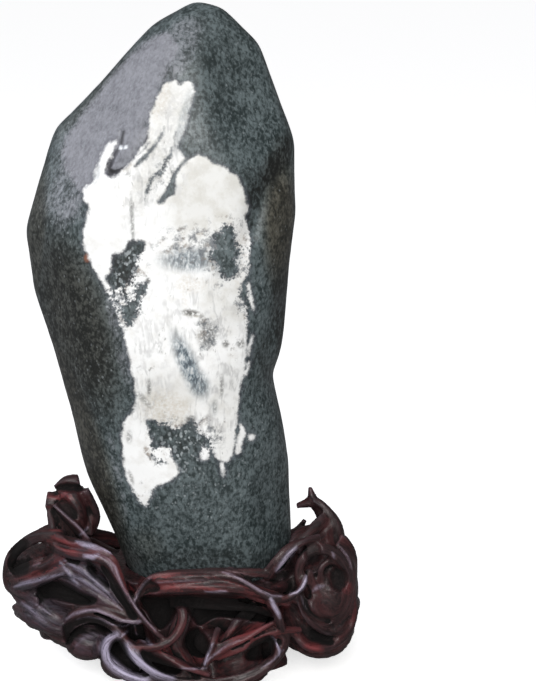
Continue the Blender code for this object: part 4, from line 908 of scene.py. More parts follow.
class Graph:
    """A material's nodes, wired up by short calls."""

    def __init__(self, name):
        self.material = bpy.data.materials.new(name)
        self.material.use_nodes = True
        self.tree = self.material.node_tree
        self.shader = self.tree.nodes["Principled BSDF"]

    def feed(self, socket, value):
        """Links a socket to a field, or sets its value."""
        if isinstance(value, Field):
            self.tree.links.new(value.socket, socket)
        else:
            socket.default_value = value

    def node(self, kind, output, inputs, **settings):
        """One output of a new node, with its inputs by name or number, and its settings."""
        node = self.tree.nodes.new("ShaderNode" + kind)
        for name, value in settings.items():
            setattr(node, name, value)
        for name, value in inputs.items():
            self.feed(node.inputs[name], value)
        return Field(self, node.outputs[output])

    def kept(self, name, output="Fac"):
        """A number kept on the mesh, or a vector."""
        return self.node("Attribute", output, {}, attribute_name=name)

    def stretch(self, vector, by):
        """A vector times another."""
        return self.node("VectorMath", 0, {0: vector, 1: by}, operation="MULTIPLY")

    def place_in_mm(self):
        """The point's place on the object, in mm."""
        return self.stretch(self.node("TexCoord", "Object", {}), (1 / MM, 1 / MM, 1 / MM))

    def calc(self, operation, *values):
        """One step of arithmetic."""
        return self.node("Math", 0, dict(enumerate(values)), operation=operation)

    def noise(self, vector, size, detail=2.0, roughness=0.5, distortion=0.0, output="Fac"):
        """Noise with features of about this size, from 0 to 1: one number, or three as a colour."""
        inputs = {"Vector": vector, "Scale": 1 / size, "Detail": detail, "Roughness": roughness}
        return self.node("TexNoise", output, {**inputs, "Distortion": distortion})

    def specks(self, vector, size, wander):
        """The distance to the nearest of scattered points this far apart, in shares of that size."""
        moved = self.node("VectorMath", 0, {0: vector, 1: wander}, operation="ADD")
        return self.node("TexVoronoi", "Distance", {"Vector": moved, "Scale": 1 / size})

    def blend(self, factor, first, second):
        """A colour between two, by a factor."""
        colours = [colour if isinstance(colour, Field) else (*colour, 1) for colour in (first, second)]
        inputs = {0: factor, **dict(zip(MIX_COLOUR_INPUTS, colours))}
        return self.node("Mix", MIX_COLOUR_OUTPUT, inputs, data_type="RGBA")

    def finish(self, colour, gloss, specular, height_in_mm, bump):
        """Feeds the shader, and returns the material."""
        inputs = {"Strength": bump, "Distance": MM, "Height": height_in_mm}
        for name, value in (
            ("Base Color", colour),
            ("Roughness", gloss),
            ("Specular IOR Level", specular),
            ("Normal", self.node("Bump", "Normal", inputs)),
        ):
            self.feed(self.shader.inputs[name], value)
        return self.material


def in_row(place):
    """A place in mm, moved to the object's own middle and turned into metres."""
    return (Vector(place) + Vector(MOVE_TO_MIDDLE)) * MM


def rows_in_row(points):
    """Rows of places in mm, moved to the object's own middle and turned into metres."""
    return (np.asarray(points, float) + np.array(MOVE_TO_MIDDLE)) * MM


def seen_at(across, up, depth):
    """The place in mm, this deep from the middle, that the picture plane shows at across and up."""
    sideways, upward = across - VIEW_PLANE_MIDDLE[0], up - VIEW_PLANE_MIDDLE[1]
    cos, sin = math.cos(VIEW_TILT), math.sin(VIEW_TILT)
    along = (depth - VIEW_EYE[1]) / (VIEW_PLANE_FAR * cos + upward * sin)
    return (
        VIEW_EYE[0] + sideways * along,
        VIEW_EYE[1] + (VIEW_PLANE_FAR * cos + upward * sin) * along,
        VIEW_EYE[2] + (upward * cos - VIEW_PLANE_FAR * sin) * along,
    )


def picture_of(points):
    """Where the picture plane shows places given in mm, as (across, up) rows."""
    cos, sin = math.cos(VIEW_TILT), math.sin(VIEW_TILT)
    from_eye = points - np.array(VIEW_EYE)
    far = from_eye[:, 1] * cos - from_eye[:, 2] * sin
    upward = from_eye[:, 1] * sin + from_eye[:, 2] * cos
    across = VIEW_PLANE_MIDDLE[0] + from_eye[:, 0] * VIEW_PLANE_FAR / far
    return np.stack([across, VIEW_PLANE_MIDDLE[1] + upward * VIEW_PLANE_FAR / far], axis=1)


def on_photo(pixels):
    """Rows of (right, down) in the photograph's pixels as rows of (across, up) in mm."""
    rows = np.array(pixels, float)[:, :2]
    return (rows - PHOTO_FOOT) * (PHOTO_PIXEL, -PHOTO_PIXEL)


def gap_to(places, start, end):
    """How far rows of (across, up) are from a line, and where along it they are, from 0 to 1."""
    step = end - start
    share = np.clip((places - start) @ step / (step @ step), 0, 1)
    return np.linalg.norm(places - start - share[:, None] * step, axis=1), share


def distance_to_path(places, path):
    """How far rows of (across, up) are from a path of (across, up)."""
    path = np.array(path, float)
    return reduce(np.minimum, (gap_to(places, start, end)[0] for start, end in zip(path, path[1:])))


def inside_by(places, outline):
    """How far rows of (across, up) are inside a closed outline, in mm. Outside it is less than nothing."""
    loop = np.vstack([outline, outline[:1]])
    inside = np.zeros(len(places), bool)
    for (x0, y0), (x1, y1) in zip(loop, loop[1:]):
        if y0 == y1:
            continue
        crosses = (y0 > places[:, 1]) != (y1 > places[:, 1])
        at = x0 + (places[:, 1] - y0) * (x1 - x0) / (y1 - y0)
        inside ^= crosses & (places[:, 0] < at)
    return np.where(inside, 1, -1) * distance_to_path(places, loop)


def within_line(places, line):
    """How far rows of (across, up) are inside a line of (right, down, half width in mm)."""
    middle, half = on_photo(line), np.array([point[2] for point in line])
    depths = []
    for start, end, thin, thick in zip(middle, middle[1:], half, half[1:]):
        gap, share = gap_to(places, start, end)
        depths.append(thin + (thick - thin) * share - gap)
    return reduce(np.maximum, depths)


def curve_points(a, b, c, d, count):
    """Points from b towards c, on a smooth curve that comes from a and goes on to d."""
    square, cube = 2 * a - 5 * b + 4 * c - d, 3 * b - a - 3 * c + d
    return [b + (c - a) * t / 2 + square * t**2 / 2 + cube * t**3 / 2 for t in np.arange(count) / count]


def photo_loop(pixels):
    """A closed outline in mm with round corners, through given points in the photograph's pixels."""
    rows = on_photo(pixels)
    corners = zip(np.roll(rows, 1, 0), rows, np.roll(rows, -1, 0), np.roll(rows, -2, 0))
    return np.array([point for four in corners for point in curve_points(*four, LOOP_STEPS)])


def smooth_path(points, step):
    """Points every step or so along a smooth curve through rows of (x, y, z, half width)."""
    rows = np.array(points, float)
    padded = np.vstack([2 * rows[0] - rows[1], rows, 2 * rows[-1] - rows[-2]])
    found = []
    for a, b, c, d in zip(padded, padded[1:], padded[2:], padded[3:]):
        found += curve_points(a, b, c, d, max(2, int(np.linalg.norm(c[:3] - b[:3]) / step)))
    return np.array([*found, rows[-1]])


def close_to(places, rows, margin):
    """The numbers of the places within a margin of the box round some rows."""
    low, high = rows.min(axis=0) - margin, rows.max(axis=0) + margin
    return np.flatnonzero(((places > low) & (places < high)).all(axis=1))


def eased(share):
    """A share from 0 to 1 with a smooth start and end."""
    share = np.clip(share, 0, 1)
    return share * share * (3 - 2 * share)


def stained(places, areas):
    """How strongly soft oval areas cover rows of (across, up), from 0 to 1."""
    amount = np.zeros(len(places))
    for middle, half, turn, strength in areas.values():
        shift = places - on_photo([middle])[0]
        cos, sin = math.cos(math.radians(turn)), math.sin(math.radians(turn))
        right, high = shift[:, 0] * cos - shift[:, 1] * sin, shift[:, 1] * cos + shift[:, 0] * sin
        reach = np.hypot(right / (half[0] * PHOTO_PIXEL), high / (half[1] * PHOTO_PIXEL))
        share = (1 + STAIN_SOFTNESS - reach) / (2 * STAIN_SOFTNESS)
        amount = np.maximum(amount, strength * eased(share))
    return amount


def rounded_outline(points, softness):
    """A closed outline, resampled every millimetre, with its corners rounded off by averaging."""
    corners = np.array(points + points[:1], float)
    along = np.concatenate([[0], np.cumsum(np.hypot(*np.diff(corners, axis=0).T))])
    at = np.arange(0, along[-1], 1.0)
    line = np.stack([np.interp(at, along, corners[:, k]) for k in range(2)], axis=1)
    for _ in range(int(2 * softness**2)):
        line = (np.roll(line, 1, axis=0) + 2 * line + np.roll(line, -1, axis=0)) / 4
    return line


def two_edges(line):
    """An outline's low and high edges, each as (heights, places), with heights from 0 to 1."""
    line = np.roll(line, -int(line[:, 1].argmin()), axis=0)
    top = int(line[:, 1].argmax())
    heights = (line[:, 1] - line[:, 1].min()) / np.ptp(line[:, 1])
    edges = []
    for height, place in (
        (heights[top:][::-1], line[top:, 0][::-1]),
        (heights[: top + 1], line[: top + 1, 0]),
    ):
        order = np.argsort(height, kind="stable")
        edges.append((height[order], place[order]))
    return edges


def spaced(at, steps):
    """Values along a rising row, as far apart as the steps wanted at each."""
    count = np.concatenate([[0], np.cumsum(np.diff(at) / ((steps[1:] + steps[:-1]) / 2))])
    wanted = np.linspace(0, count[-1], int(count[-1]) + 1)
    return np.interp(wanted, count, at)


def squared_off(waves, power):
    """Sines or cosines for a section that is squarer than an ellipse where the power is above 2."""
    return np.sign(waves) * np.abs(waves) ** (2 / power)


def stone_angles():
    """Angles round the stone, closer together across its front."""
    fine = np.linspace(0, 2 * math.pi, FINE_ANGLES)
    x = STONE_HALF_SIZES[0] * squared_off(np.cos(fine), SECTION_POWER)
    y = STONE_HALF_SIZES[1] * squared_off(np.sin(fine), SECTION_POWER)
    along = np.concatenate([[0], np.cumsum(np.hypot(np.diff(x), np.diff(y)))])
    return np.interp(spaced(along, np.interp(y, *zip(*COLUMN_STEPS)))[:-1], along, fine)


def ring_shares(low, high):
    """How far up the stone each ring is, from 0 to 1, closer together over the vein and at both ends."""
    fine = np.linspace(0, 1, FINE_RINGS)[1:-1]
    height = low + fine * (high - low)
    from_end = np.minimum(fine, 1 - fine) * (high - low)
    crowded = RING_CROWDING * np.sqrt(from_end) + LEAST_RING_STEP
    steps = np.minimum(np.interp(height, *zip(*RING_STEPS)), crowded)
    return np.interp(spaced(height, steps)[1:-1], height, fine)


def wear_flats(points):
    """Takes each of the stone's flats off its points, with soft edges."""
    for facing, bite in STONE_FLATS.values():
        normal = np.array(facing) / np.linalg.norm(facing)
        reach = points @ normal
        over = reach - (reach.max() - bite)
        taken = FLAT_SOFTNESS * np.logaddexp(0, over / FLAT_SOFTNESS)
        points = points - taken[:, None] * normal
    return points


def in_front(points, fade_depth):
    """1 on the front half, fading to 0 towards the middle plane and behind it."""
    return np.clip(-points[:, 1] / fade_depth, 0, 1)


def press_creases(points):
    """Presses the creases into the front half of the stone."""
    depth = np.zeros(len(points))
    places = picture_of(points)
    for path, width, deep in STONE_CREASES.values():
        gap = distance_to_path(places, path)
        depth = np.maximum(depth, deep * np.exp(-((gap / width) ** 2)))
    points[:, 1] += depth * in_front(points, CREASE_FADE_DEPTH)
    return points


def swell(points):
    """Makes the stone's surface gently uneven."""
    outward = (points - np.array(SWELL_MIDDLE)) * SWELL_WEIGHTS
    outward /= np.linalg.norm(outward, axis=1)[:, None]
    amounts = [noise.noise(Vector(p) / SWELL_SIZE) for p in points]
    return points + SWELL_DEPTH * np.array(amounts)[:, None] * outward


def stone_form(angles=None, share=None):
    """The stone's points in mm, ring by ring from its foot, then one for each end, and its two counts."""
    front_outline = [seen_at(across, up, 0)[::2] for across, up in STONE_FRONT_OUTLINE]
    line = rounded_outline(front_outline, CORNER_SOFTNESS)
    low, high = line[line[:, 1].argmin()], line[line[:, 1].argmax()]
    angles = stone_angles() if angles is None else angles
    share = ring_shares(low[1], high[1]) if share is None else share
    side_line = rounded_outline(STONE_SIDE_OUTLINE, CORNER_SOFTNESS)
    left, right = (np.interp(share, *edge) for edge in two_edges(line))
    front, back = (np.interp(share, *edge) for edge in two_edges(side_line))
    bulge_x = squared_off(np.cos(angles), SECTION_POWER)
    bulge_y = squared_off(np.sin(angles), SECTION_POWER)
    x = (left + right)[:, None] / 2 + (right - left)[:, None] / 2 * bulge_x
    y = np.where(bulge_y < 0, -front[:, None] * bulge_y, back[:, None] * bulge_y)
    z = np.broadcast_to((low[1] + share * (high[1] - low[1]))[:, None], x.shape)
    rings = np.stack([x, y, z], axis=2).reshape(-1, 3)
    ends = np.array([[low[0], 0, low[1]], [high[0], 0, high[1]]])
    return swell(press_creases(wear_flats(np.vstack([rings, ends])))), len(share), len(angles)


def quads(rings, sides):
    """Four-cornered faces between rings of points."""
    faces = []
    for ring in range(rings - 1):
        for side in range(sides):
            beside = (side + 1) % sides
            low, high = ring * sides, (ring + 1) * sides
            faces.append((low + side, low + beside, high + beside, high + side))
    return faces


def new_object(name, data):
    """A new object in the scene."""
    made = bpy.data.objects.new(name, data)
    bpy.context.scene.collection.objects.link(made)
    return made


def object_of(name, mesh):
    """A new object of a mesh that is being edited."""
    data = bpy.data.meshes.new(name)
    mesh.to_mesh(data)
    mesh.free()
    return new_object(name, data)


def stone_object(name, points, rings, sides):
    """A smooth object of the stone's points, with a fan of triangles at each end."""
    faces = quads(rings, sides)
    foot, top, last = rings * sides, rings * sides + 1, (rings - 1) * sides
    for side in range(sides):
        beside = (side + 1) % sides
        faces += [(beside, side, foot), (last + side, last + beside, top)]
    mesh = bpy.data.meshes.new(name)
    mesh.from_pydata([tuple(p) for p in rows_in_row(points)], [], faces)
    mesh.validate()
    mesh.shade_smooth()
    return new_object(name, mesh)


def rows_of(items, field, columns, kind=float):
    """A field of a mesh's points, edges, faces or corners, as rows."""
    rows = np.zeros(len(items) * columns, kind)
    items.foreach_get(field, rows)
    return rows.reshape(-1, columns)


def places_of(mesh):
    """A mesh's points as rows, in metres."""
    return rows_of(mesh.vertices, "co", 3)


def points_of(mesh):
    """A mesh's points as rows, in mm."""
    return places_of(mesh) / MM - MOVE_TO_MIDDLE


def normals_of(mesh):
    """A mesh's vertex normals as rows."""
    return rows_of(mesh.vertex_normals, "vector", 3)


def move_points(mesh, places):
    """Sets a mesh's points from rows in metres."""
    mesh.vertices.foreach_set("co", np.asarray(places, np.float32).ravel())
    mesh.update()


def keep_number(mesh, name, values):
    """Keeps a number for each point on the mesh, for its material."""
    mesh.attributes.new(name, "FLOAT", "POINT").data.foreach_set("value", np.asarray(values, np.float32))


def many_noises(points, size):
    """Smooth noise from 0 to 1 at rows of points in mm."""
    return np.array([noise.noise(Vector(p) / size) for p in points]) / 2 + 0.5


def vein_depth(places):
    """How far inside the white vein rows of (across, up) are, in mm, less than nothing in dark stone."""
    depth = np.full(len(places), -float(VEIN_FADE))
    for outlines, lines, pick, sign in (
        (VEIN_OUTLINES, {}, np.maximum, 1),
        (DARK_ISLANDS, DARK_LINES, np.minimum, -1),
        (LIGHT_PATCHES, LIGHT_LINES, np.maximum, 1),
    ):
        for outline in outlines.values():
            depth = pick(depth, sign * inside_by(places, photo_loop(outline)))
        for line in lines.values():
            depth = pick(depth, sign * within_line(places, line))
    return depth


def flake_depth(places):
    """How deep the broken flake goes at rows of (across, up), in mm."""
    inside = inside_by(places, photo_loop(FLAKE_OUTLINE))
    _, share = gap_to(places, *on_photo(FLAKE_SLOPE))
    return FLAKE_DEPTH * np.clip(inside / FLAKE_EDGE, 0, 1) * (1 - share) ** FLAKE_POWER


def mark_stone(mesh, points):
    """Keeps the stone's markings, with its painted shade, sheen and glints, on its points, for the material."""
    places = picture_of(points)
    front = points[:, 1] < 0
    facing_front = in_front(points, CREASE_FADE_DEPTH)
    vein = np.full(len(points), -float(VEIN_FADE))
    vein[front] = vein_depth(places[front])
    keep_number(mesh, "vein", vein - VEIN_FADE * (1 - facing_front))
    cracks = (within_line(places, line) for line in CRACKS.values())
    crack_and_shadow = reduce(np.maximum, (np.clip(depth / CRACK_SOFTNESS + 0.5, 0, 1) for depth in cracks))
    keep_number(mesh, "crack_and_shadow", crack_and_shadow * facing_front)
    for name, areas in STONE_AREAS.items():
        amount = stained(places, areas)
        if name == "pale":
            facet = inside_by(places, photo_loop(FACET_OUTLINE))
            amount = np.maximum(amount, eased(facet / (2 * FACET_EDGE) + 0.5))
        keep_number(mesh, name, amount * facing_front)


def vein_colour(graph, place, ragged):
    """The white of the vein, with its clouds, threads, strokes and stains."""
    cloud = graph.noise(place, 7, 4, 0.6)
    white = graph.blend(cloud.fade(0.45, 0.75), *STONE_COLOURS["white"])
    cream = graph.blend(cloud.fade(0.38, 0.66), *STONE_COLOURS["cream"])
    white = graph.blend(graph.kept("cream"), white, cream)

    veinlets = graph.kept("veinlets")
    thread = graph.noise(graph.stretch(place, (1, 1, 0.30)), 5.0, 3, 0.6, 0.6)
    thread = graph.calc("ABSOLUTE", thread - 0.5).fade(0.0, 0.09, 0.7, 0.0)
    thread = thread * graph.noise(place, 6.0, 2).fade(0.40, 0.60) * veinlets
    white = graph.blend(thread, white, STONE_COLOURS["thread"])
    strokes = graph.noise(graph.stretch(place, (1, 1, 0.5)), 2.6, 3, 0.6, 0.3).fade(0.64, 0.74)
    white = graph.blend(strokes * veinlets.fade(0.1, 0.6, 0.0, 0.6), white, STONE_COLOURS["stroke"])

    white = graph.blend(graph.kept("warm") * ragged.fade(0.25, 0.80), white, STONE_COLOURS["sand"])
    white = graph.blend(graph.kept("grey") * ragged.fade(0.28, 0.56), white, STONE_COLOURS["smoke"])
    striped = graph.noise(graph.stretch(place, (1, 1, 0.45)), 1.5, 3, 0.65, 0.4)
    slate = graph.blend(striped.fade(0.48, 0.62), *STONE_COLOURS["slate"])
    white = graph.blend(graph.kept("blue") * striped.fade(0.32, 0.54, 0.35, 1.0), white, slate)
    mottled = graph.kept("mottled")
    smudges = (graph.noise(place, 4.2, 5, 0.72) + mottled * 0.17).fade(0.58, 0.78) * mottled.fade(0.0, 0.6)
    smudge = graph.blend(cloud.fade(0.46, 0.66), *STONE_COLOURS["smudge"])
    return graph.blend(smudges * 0.85, white, smudge)


def stone_material():
    """Fine-grained grey-green stone, polished by water, with a white vein, and with painted shade, sheen and
    glints.
    """
    graph = Graph("river_stone_finish")
    place = graph.place_in_mm()
    grained = graph.stretch(place, (1, 1, 0.72))
    fine = graph.noise(grained, 1.5, 2, 0.6, 0.3)
    coarse = graph.noise(grained, 3.9, 2, 0.6, 0.4)
    broad = graph.noise(place, 16, 3, 0.55)
    pale, dark, fleck = (graph.kept(name) for name in ("pale", "dark", "fleck"))

    # The ground colour goes from near-black grains to grey-green ones.
    tone = fine * 0.62 + coarse * 0.38 + (broad - 0.5) * 0.22
    grain = tone.fade(0.36, 0.66)
    brown = graph.blend(grain, *STONE_COLOURS["brown"])
    ground = graph.blend(graph.kept("brown"), graph.blend(grain, *STONE_COLOURS["ground"]), brown)
    # The facet and the pale areas lighten to a lavender-grey that is partly wear and partly painted sheen.
    worn = graph.blend(tone.fade(0.32, 0.68), *STONE_COLOURS["worn"])
    patchy = (pale + (tone - 0.5) * 1.3 + (broad - 0.5) * 0.8).fade(0.10, 0.92)
    ground = graph.blend(patchy * pale.fade(0.0, 0.25), ground, worn)
    # Painted shade, and some darker stone, darken the dark areas.
    ground = graph.blend(dark * tone.fade(0.42, 0.62, 1.0, 0.5), ground, STONE_COLOURS["dark"])
    # Painted shadow along the cracks.
    ground = graph.blend(graph.kept("crack_and_shadow") * 0.9, ground, STONE_COLOURS["crack_and_shadow"])

    # Light flecks, more of them near the vein's foot.
    wander = graph.stretch(graph.noise(place, 3.0, output="Color"), (2.2, 2.2, 2.2))
    specks = graph.specks(graph.stretch(place, (1, 1, 0.7)), 1.9, wander)
    reach = fleck.fade(0.0, 1.0, 0.17, 0.33) * graph.noise(place, 2.0, 2).fade(0.35, 0.65, 0.45, 1.4)
    spot = (specks - reach).fade(-0.10, 0.12, 1.0, 0.0)
    spot = spot * graph.calc("MAXIMUM", graph.noise(place, 3.2, 2).fade(0.47, 0.58), fleck * 0.6)
    light = spot * fleck.fade(0, 1, 0.24, 0.74) * (dark - fleck).fade(0.0, 1.0, 1.0, 0.35)
    ground = graph.blend(light, ground, STONE_COLOURS["fleck"])
    ground = graph.blend(graph.kept("rust"), ground, STONE_COLOURS["rust"])

    # The vein's edge wanders, and breaks up into grains where it is mottled.
    ragged = graph.noise(place, 1.3, 3, 0.6)
    shift = (graph.noise(place, 3.4, 2, 0.5) - 0.5) * 3.2 + (graph.noise(place, 1.0, 2, 0.6) - 0.5) * 1.3
    depth = graph.kept("vein") + (shift + (ragged - 0.5) * graph.kept("mottled") * 11.0)
    in_vein = depth.fade(-1.05, 0.85)
    ground = graph.blend(depth.fade(-3.0, 0.0) * 0.40, ground, STONE_COLOURS["halo"])
    colour = graph.blend(in_vein, ground, vein_colour(graph, place, ragged))
    # Painted glints of light on the flake's edge.
    colour = graph.blend(graph.kept("painted_glint"), colour, STONE_COLOURS["painted_glint"])

    gloss = tone.fade(0.3, 0.7, 0.50, 0.36) + in_vein * 0.05
    height = (fine * 0.05 + coarse * 0.10 - spot * 0.03) * pale.fade(0, 1, 1.0, 0.45)
    return graph.finish(colour, gloss, STONE_SPECULAR, height, STONE_BUMP)


def make_stone():
    """The stone, in place of the plain solid."""
    points, rings, sides = stone_form()
    stone = stone_object("river_stone", points, rings, sides)
    mesh = stone.data
    depth = sum(deep * many_noises(points, size) for size, deep in STONE_HOLLOWS)
    front = points[:, 1] < 0
    depth[front] += flake_depth(picture_of(points[front]))
    move_points(mesh, places_of(mesh) - normals_of(mesh) * depth[:, None] * MM)
    mark_stone(mesh, points)
    mesh.materials.append(stone_material())
    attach(stone, "root")
    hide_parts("stone")


def on_basket(across, up, out):
    """The place in mm on the basket's outside that the picture plane shows at across and up."""
    place = seen_at(across, up, 0)
    for _ in range(BASKET_ROUNDS):
        share = min(1.0, abs(place[0] - BASKET_MIDDLE) / (BASKET_HALF_WIDTH + out))
        place = seen_at(across, up, -(BASKET_HALF_DEPTH + out) * math.sqrt(1 - share**2))
    return place


def root_axes(path):
    """For each place on a path, the ways along it, sideways and out."""
    tangent = np.gradient(path[:, :3], axis=0)
    tangent /= np.linalg.norm(tangent, axis=1)[:, None]
    out = (path[:, :3] - OUTWARD_FROM) * OUTWARD_WEIGHTS
    out = out / np.linalg.norm(out, axis=1)[:, None]
    out -= (out * tangent).sum(axis=1)[:, None] * tangent
    out /= np.linalg.norm(out, axis=1)[:, None]
    return tangent, np.cross(tangent, out), out


def length_along(path):
    """How far along a path each of its places is, in mm."""
    return np.concatenate([[0], np.cumsum(np.linalg.norm(np.diff(path[:, :3], axis=0), axis=1))])


def even_angles(count):
    """Angles all round, evenly apart."""
    return 2 * math.pi * np.arange(count) / count


def strand_mesh(path, shift, size):
    """Points and faces of one strand: shift is its place in the bundle at each point, size its radius."""
    _, side, out = root_axes(path)
    middle = path[:, :3] + shift[:, :1] * side + shift[:, 1:] * out
    angles = even_angles(ROOT_SIDES)
    across = squared_off(np.cos(angles), CREST_POWER)
    proud = squared_off(np.sin(angles), CREST_POWER) * ROOT_THICKNESS
    along = length_along(path)[:, None]
    fluted = 1 + sum(deep * (np.cos(count * angles + turn * along) - 1) for count, deep, turn in STRAND_FLUTES)
    radius = size[:, None] * fluted
    points = middle[:, None] + (radius * across)[:, :, None] * side[:, None]
    points = points + (radius * proud)[:, :, None] * out[:, None]
    faces = [(a, d, c, b) for a, b, c, d in quads(len(path), ROOT_SIDES)]
    faces.append(tuple(range(ROOT_SIDES)))
    faces.append(tuple(len(path) * ROOT_SIDES - 1 - k for k in range(ROOT_SIDES)))
    return points.reshape(-1, 3), faces


def root_strands(path, strands):
    """The strands of one root: a single round one, or a bundle that turns slowly on itself."""
    if strands == 1:
        return [strand_mesh(path, np.zeros((len(path), 2)), path[:, 3])]
    turn = 2 * math.pi * STRAND_TURNS * np.linspace(0, 1, len(path))
    reach = path[:, 3] * STRAND_REACH
    made = []
    for k in range(strands):
        angle = 2 * math.pi * k / strands + turn
        shift = np.stack([reach * np.cos(angle), STRAND_FLATNESS * reach * np.sin(angle)], axis=1)
        made.append(strand_mesh(path, shift, path[:, 3] * STRAND_SIZE))
    return made


def behind(places, drop_per_mm):
    """The same places behind the middle plane, lower the higher they were where a drop is given."""
    found = []
    for x, y, z, size in places:
        drop = drop_per_mm * abs(y) * min(1, z / BACK_FULL_DROP_FROM)
        found.append((x, -y, z - drop, size))
    return found


def all_roots():
    """Every root's smooth path in mm, its number of strands and how red it is, by name."""
    roots = {}
    for placed, table in ((on_basket, FRONT_ROOTS), (seen_at, HORN_ROOTS)):
        for name, (points, strands) in table.items():
            roots[name] = ([(*placed(across, up, deep), size) for across, up, deep, size in points], strands)
    for start, names, drop in (("back_", BACK_ROOTS, 0), ("far_", TWINNED_ROOTS, BACK_DROP)):
        for name in names:
            roots[start + name] = (behind(roots[name][0], drop), roots[name][1])
    roots.update(END_ROOTS)
    found = {}
    for name, (places, strands) in roots.items():
        plain_name = name.removeprefix("back_").removeprefix("far_")
        red = REDNESS.get(plain_name, RED_ELSEWHERE)
        found[name] = (smooth_path(places, ROOT_STEP), strands, red)
    return found


def core_mesh():
    """Points and faces of the body of wood under the stone."""
    levels = np.array(CORE_LEVELS, float)
    angles = even_angles(CORE_SIDES)
    points = []
    for height in np.linspace(levels[0, 0], levels[-1, 0], CORE_RINGS):
        half_width, half_depth = (np.interp(height, levels[:, 0], levels[:, k]) for k in (1, 2))
        swelling = 1 + sum(deep * np.cos(count * angles + lean * height) for count, deep, lean in CORE_FLUTES)
        x = CORE_MIDDLE[0] + half_width * swelling * np.cos(angles)
        y = CORE_MIDDLE[1] + half_depth * swelling * np.sin(angles)
        points += list(zip(x, y, np.full(CORE_SIDES, height)))
    foot = tuple(reversed(range(CORE_SIDES)))
    top = tuple(len(points) - CORE_SIDES + k for k in range(CORE_SIDES))
    return points, [foot, top, *quads(CORE_RINGS, CORE_SIDES)]


def seat_ring_path():
    """The closed ring of wood round the stone's foot, as a path."""
    ring = SEAT_RING
    angles = 2 * math.pi * np.arange(SEAT_RING_POINTS + 1) / SEAT_RING_POINTS
    x = ring["middle"][0] + ring["half_width"] * np.cos(angles)
    y = ring["middle"][1] + ring["half_depth"] * np.sin(angles)
    z = ring["front_height"] - SEAT_RING_SLOPE * ring["half_depth"] * (1 + np.sin(angles))
    return smooth_path(np.stack([x, y, z, np.full(len(angles), ring["radius"])], axis=1), ROOT_STEP)


def raw_stand(roots):
    """Every shape of the stand in one object, still passing through each other."""
    mesh = bmesh.new()
    shapes = [core_mesh()]
    for path, strands, _ in [*roots.values(), (seat_ring_path(), 1, 0)]:
        shapes += root_strands(path, strands)
    for points, faces in shapes:
        corners = [mesh.verts.new(in_row(p)) for p in points]
        for face in faces:
            mesh.faces.new([corners[k] for k in face])
    fillings = [(seen_at(*middle), half_sizes) for middle, half_sizes in FILLINGS.values()]
    for middle, half_sizes in [*LUMPS.values(), *fillings]:
        matrix = Matrix.Translation(in_row(middle)) @ Matrix.Diagonal((*(Vector(half_sizes) * MM), 1))
        bmesh.ops.create_icosphere(mesh, subdivisions=LUMP_DETAIL, radius=1, matrix=matrix)
    bmesh.ops.recalc_face_normals(mesh, faces=mesh.faces)
    return object_of("root_stand", mesh)


def apply_modifiers(made):
    """Replaces an object's mesh by what its modifiers make of it."""
    graph = bpy.context.evaluated_depsgraph_get()
    finished = bpy.data.meshes.new_from_object(made.evaluated_get(graph))
    made.modifiers.clear()
    made.data = finished


def keep_largest_body(made):
    """Deletes any crumb that is loose from the main body."""
    mesh = bmesh.new()
    mesh.from_mesh(made.data)
    left = set(mesh.verts)
    bodies = []
    while left:
        body, edge = set(), [next(iter(left))]
        while edge:
            corner = edge.pop()
            if corner in body:
                continue
            body.add(corner)
            edge += [e.other_vert(corner) for e in corner.link_edges]
        bodies.append(body)
        left -= body
    bodies.sort(key=len)
    for crumb in bodies[:-1]:
        bmesh.ops.delete(mesh, geom=list(crumb), context="VERTS")
    mesh.to_mesh(made.data)
    mesh.free()


class Grain:
    """Finds where a place is on the nearest root: sideways, out and along it, in mm."""

    def __init__(self, roots):
        columns = []
        for number, (path, _, red) in enumerate(roots.values()):
            _, side, out = root_axes(path)
            along = length_along(path) + GRAIN_SHIFT * number
            columns.append((path[:, :3], side, out, along, path[:, 3], np.full(len(path), red)))
        rows = [np.concatenate(column) for column in zip(*columns)]
        self.middle, self.side, self.out, self.along, self.size, self.red = rows
        self.tree = kdtree.KDTree(len(self.middle))
        for index, place in enumerate(self.middle):
            self.tree.insert(place, index)
        self.tree.balance()

    def nearest(self, points):
        """The number of the path place nearest to each point, thick roots reaching further."""
        found = np.zeros(len(points), int)
        for row, point in enumerate(points):
            hits = self.tree.find_n(point, NEAREST_TRIED)
            found[row] = min(hits, key=lambda hit: hit[2] - THICK_ROOT_REACH * self.size[hit[1]])[1]
        return found

    def at(self, points, index):
        """Where points are on the root places given by number, as rows of (sideways, out, along)."""
        shift = points - self.middle[index]
        side, out = self.side[index], self.out[index]
        forward = (shift * np.cross(out, side)).sum(axis=1)
        rows = [(shift * side).sum(axis=1), (shift * out).sum(axis=1), self.along[index] - forward]
        return np.stack(rows, axis=1)


def groove_depth(rows):
    """How deep the carved grooves are at rows of (sideways, out, along), in mm."""
    depth = np.zeros(len(rows))
    for apart, deep in GROOVES:
        samples = rows / (apart, apart, apart * GROOVE_STRETCH)
        depth += deep * np.abs(np.array([noise.noise(Vector(p)) for p in samples])) * 2
    return depth * np.clip(np.hypot(rows[:, 0], rows[:, 1]) / GROOVE_FADE, 0, 1)


def hollows_at(places):
    """How deep in mm the carved hollows are at rows of (across, up), and how dark their painted shade is."""
    deep, dark = np.zeros(len(places)), np.zeros(len(places))
    for outline, depth, darkness in CARVED_HOLLOWS.values():
        loop = photo_loop(outline)
        rows = close_to(places, loop, HOLLOW_EDGE)
        share = eased(inside_by(places[rows], loop) / (2 * HOLLOW_EDGE) + 0.5)
        deep[rows] = np.maximum(deep[rows], depth * share)
        dark[rows] = np.maximum(dark[rows], darkness * share)
    return deep, dark


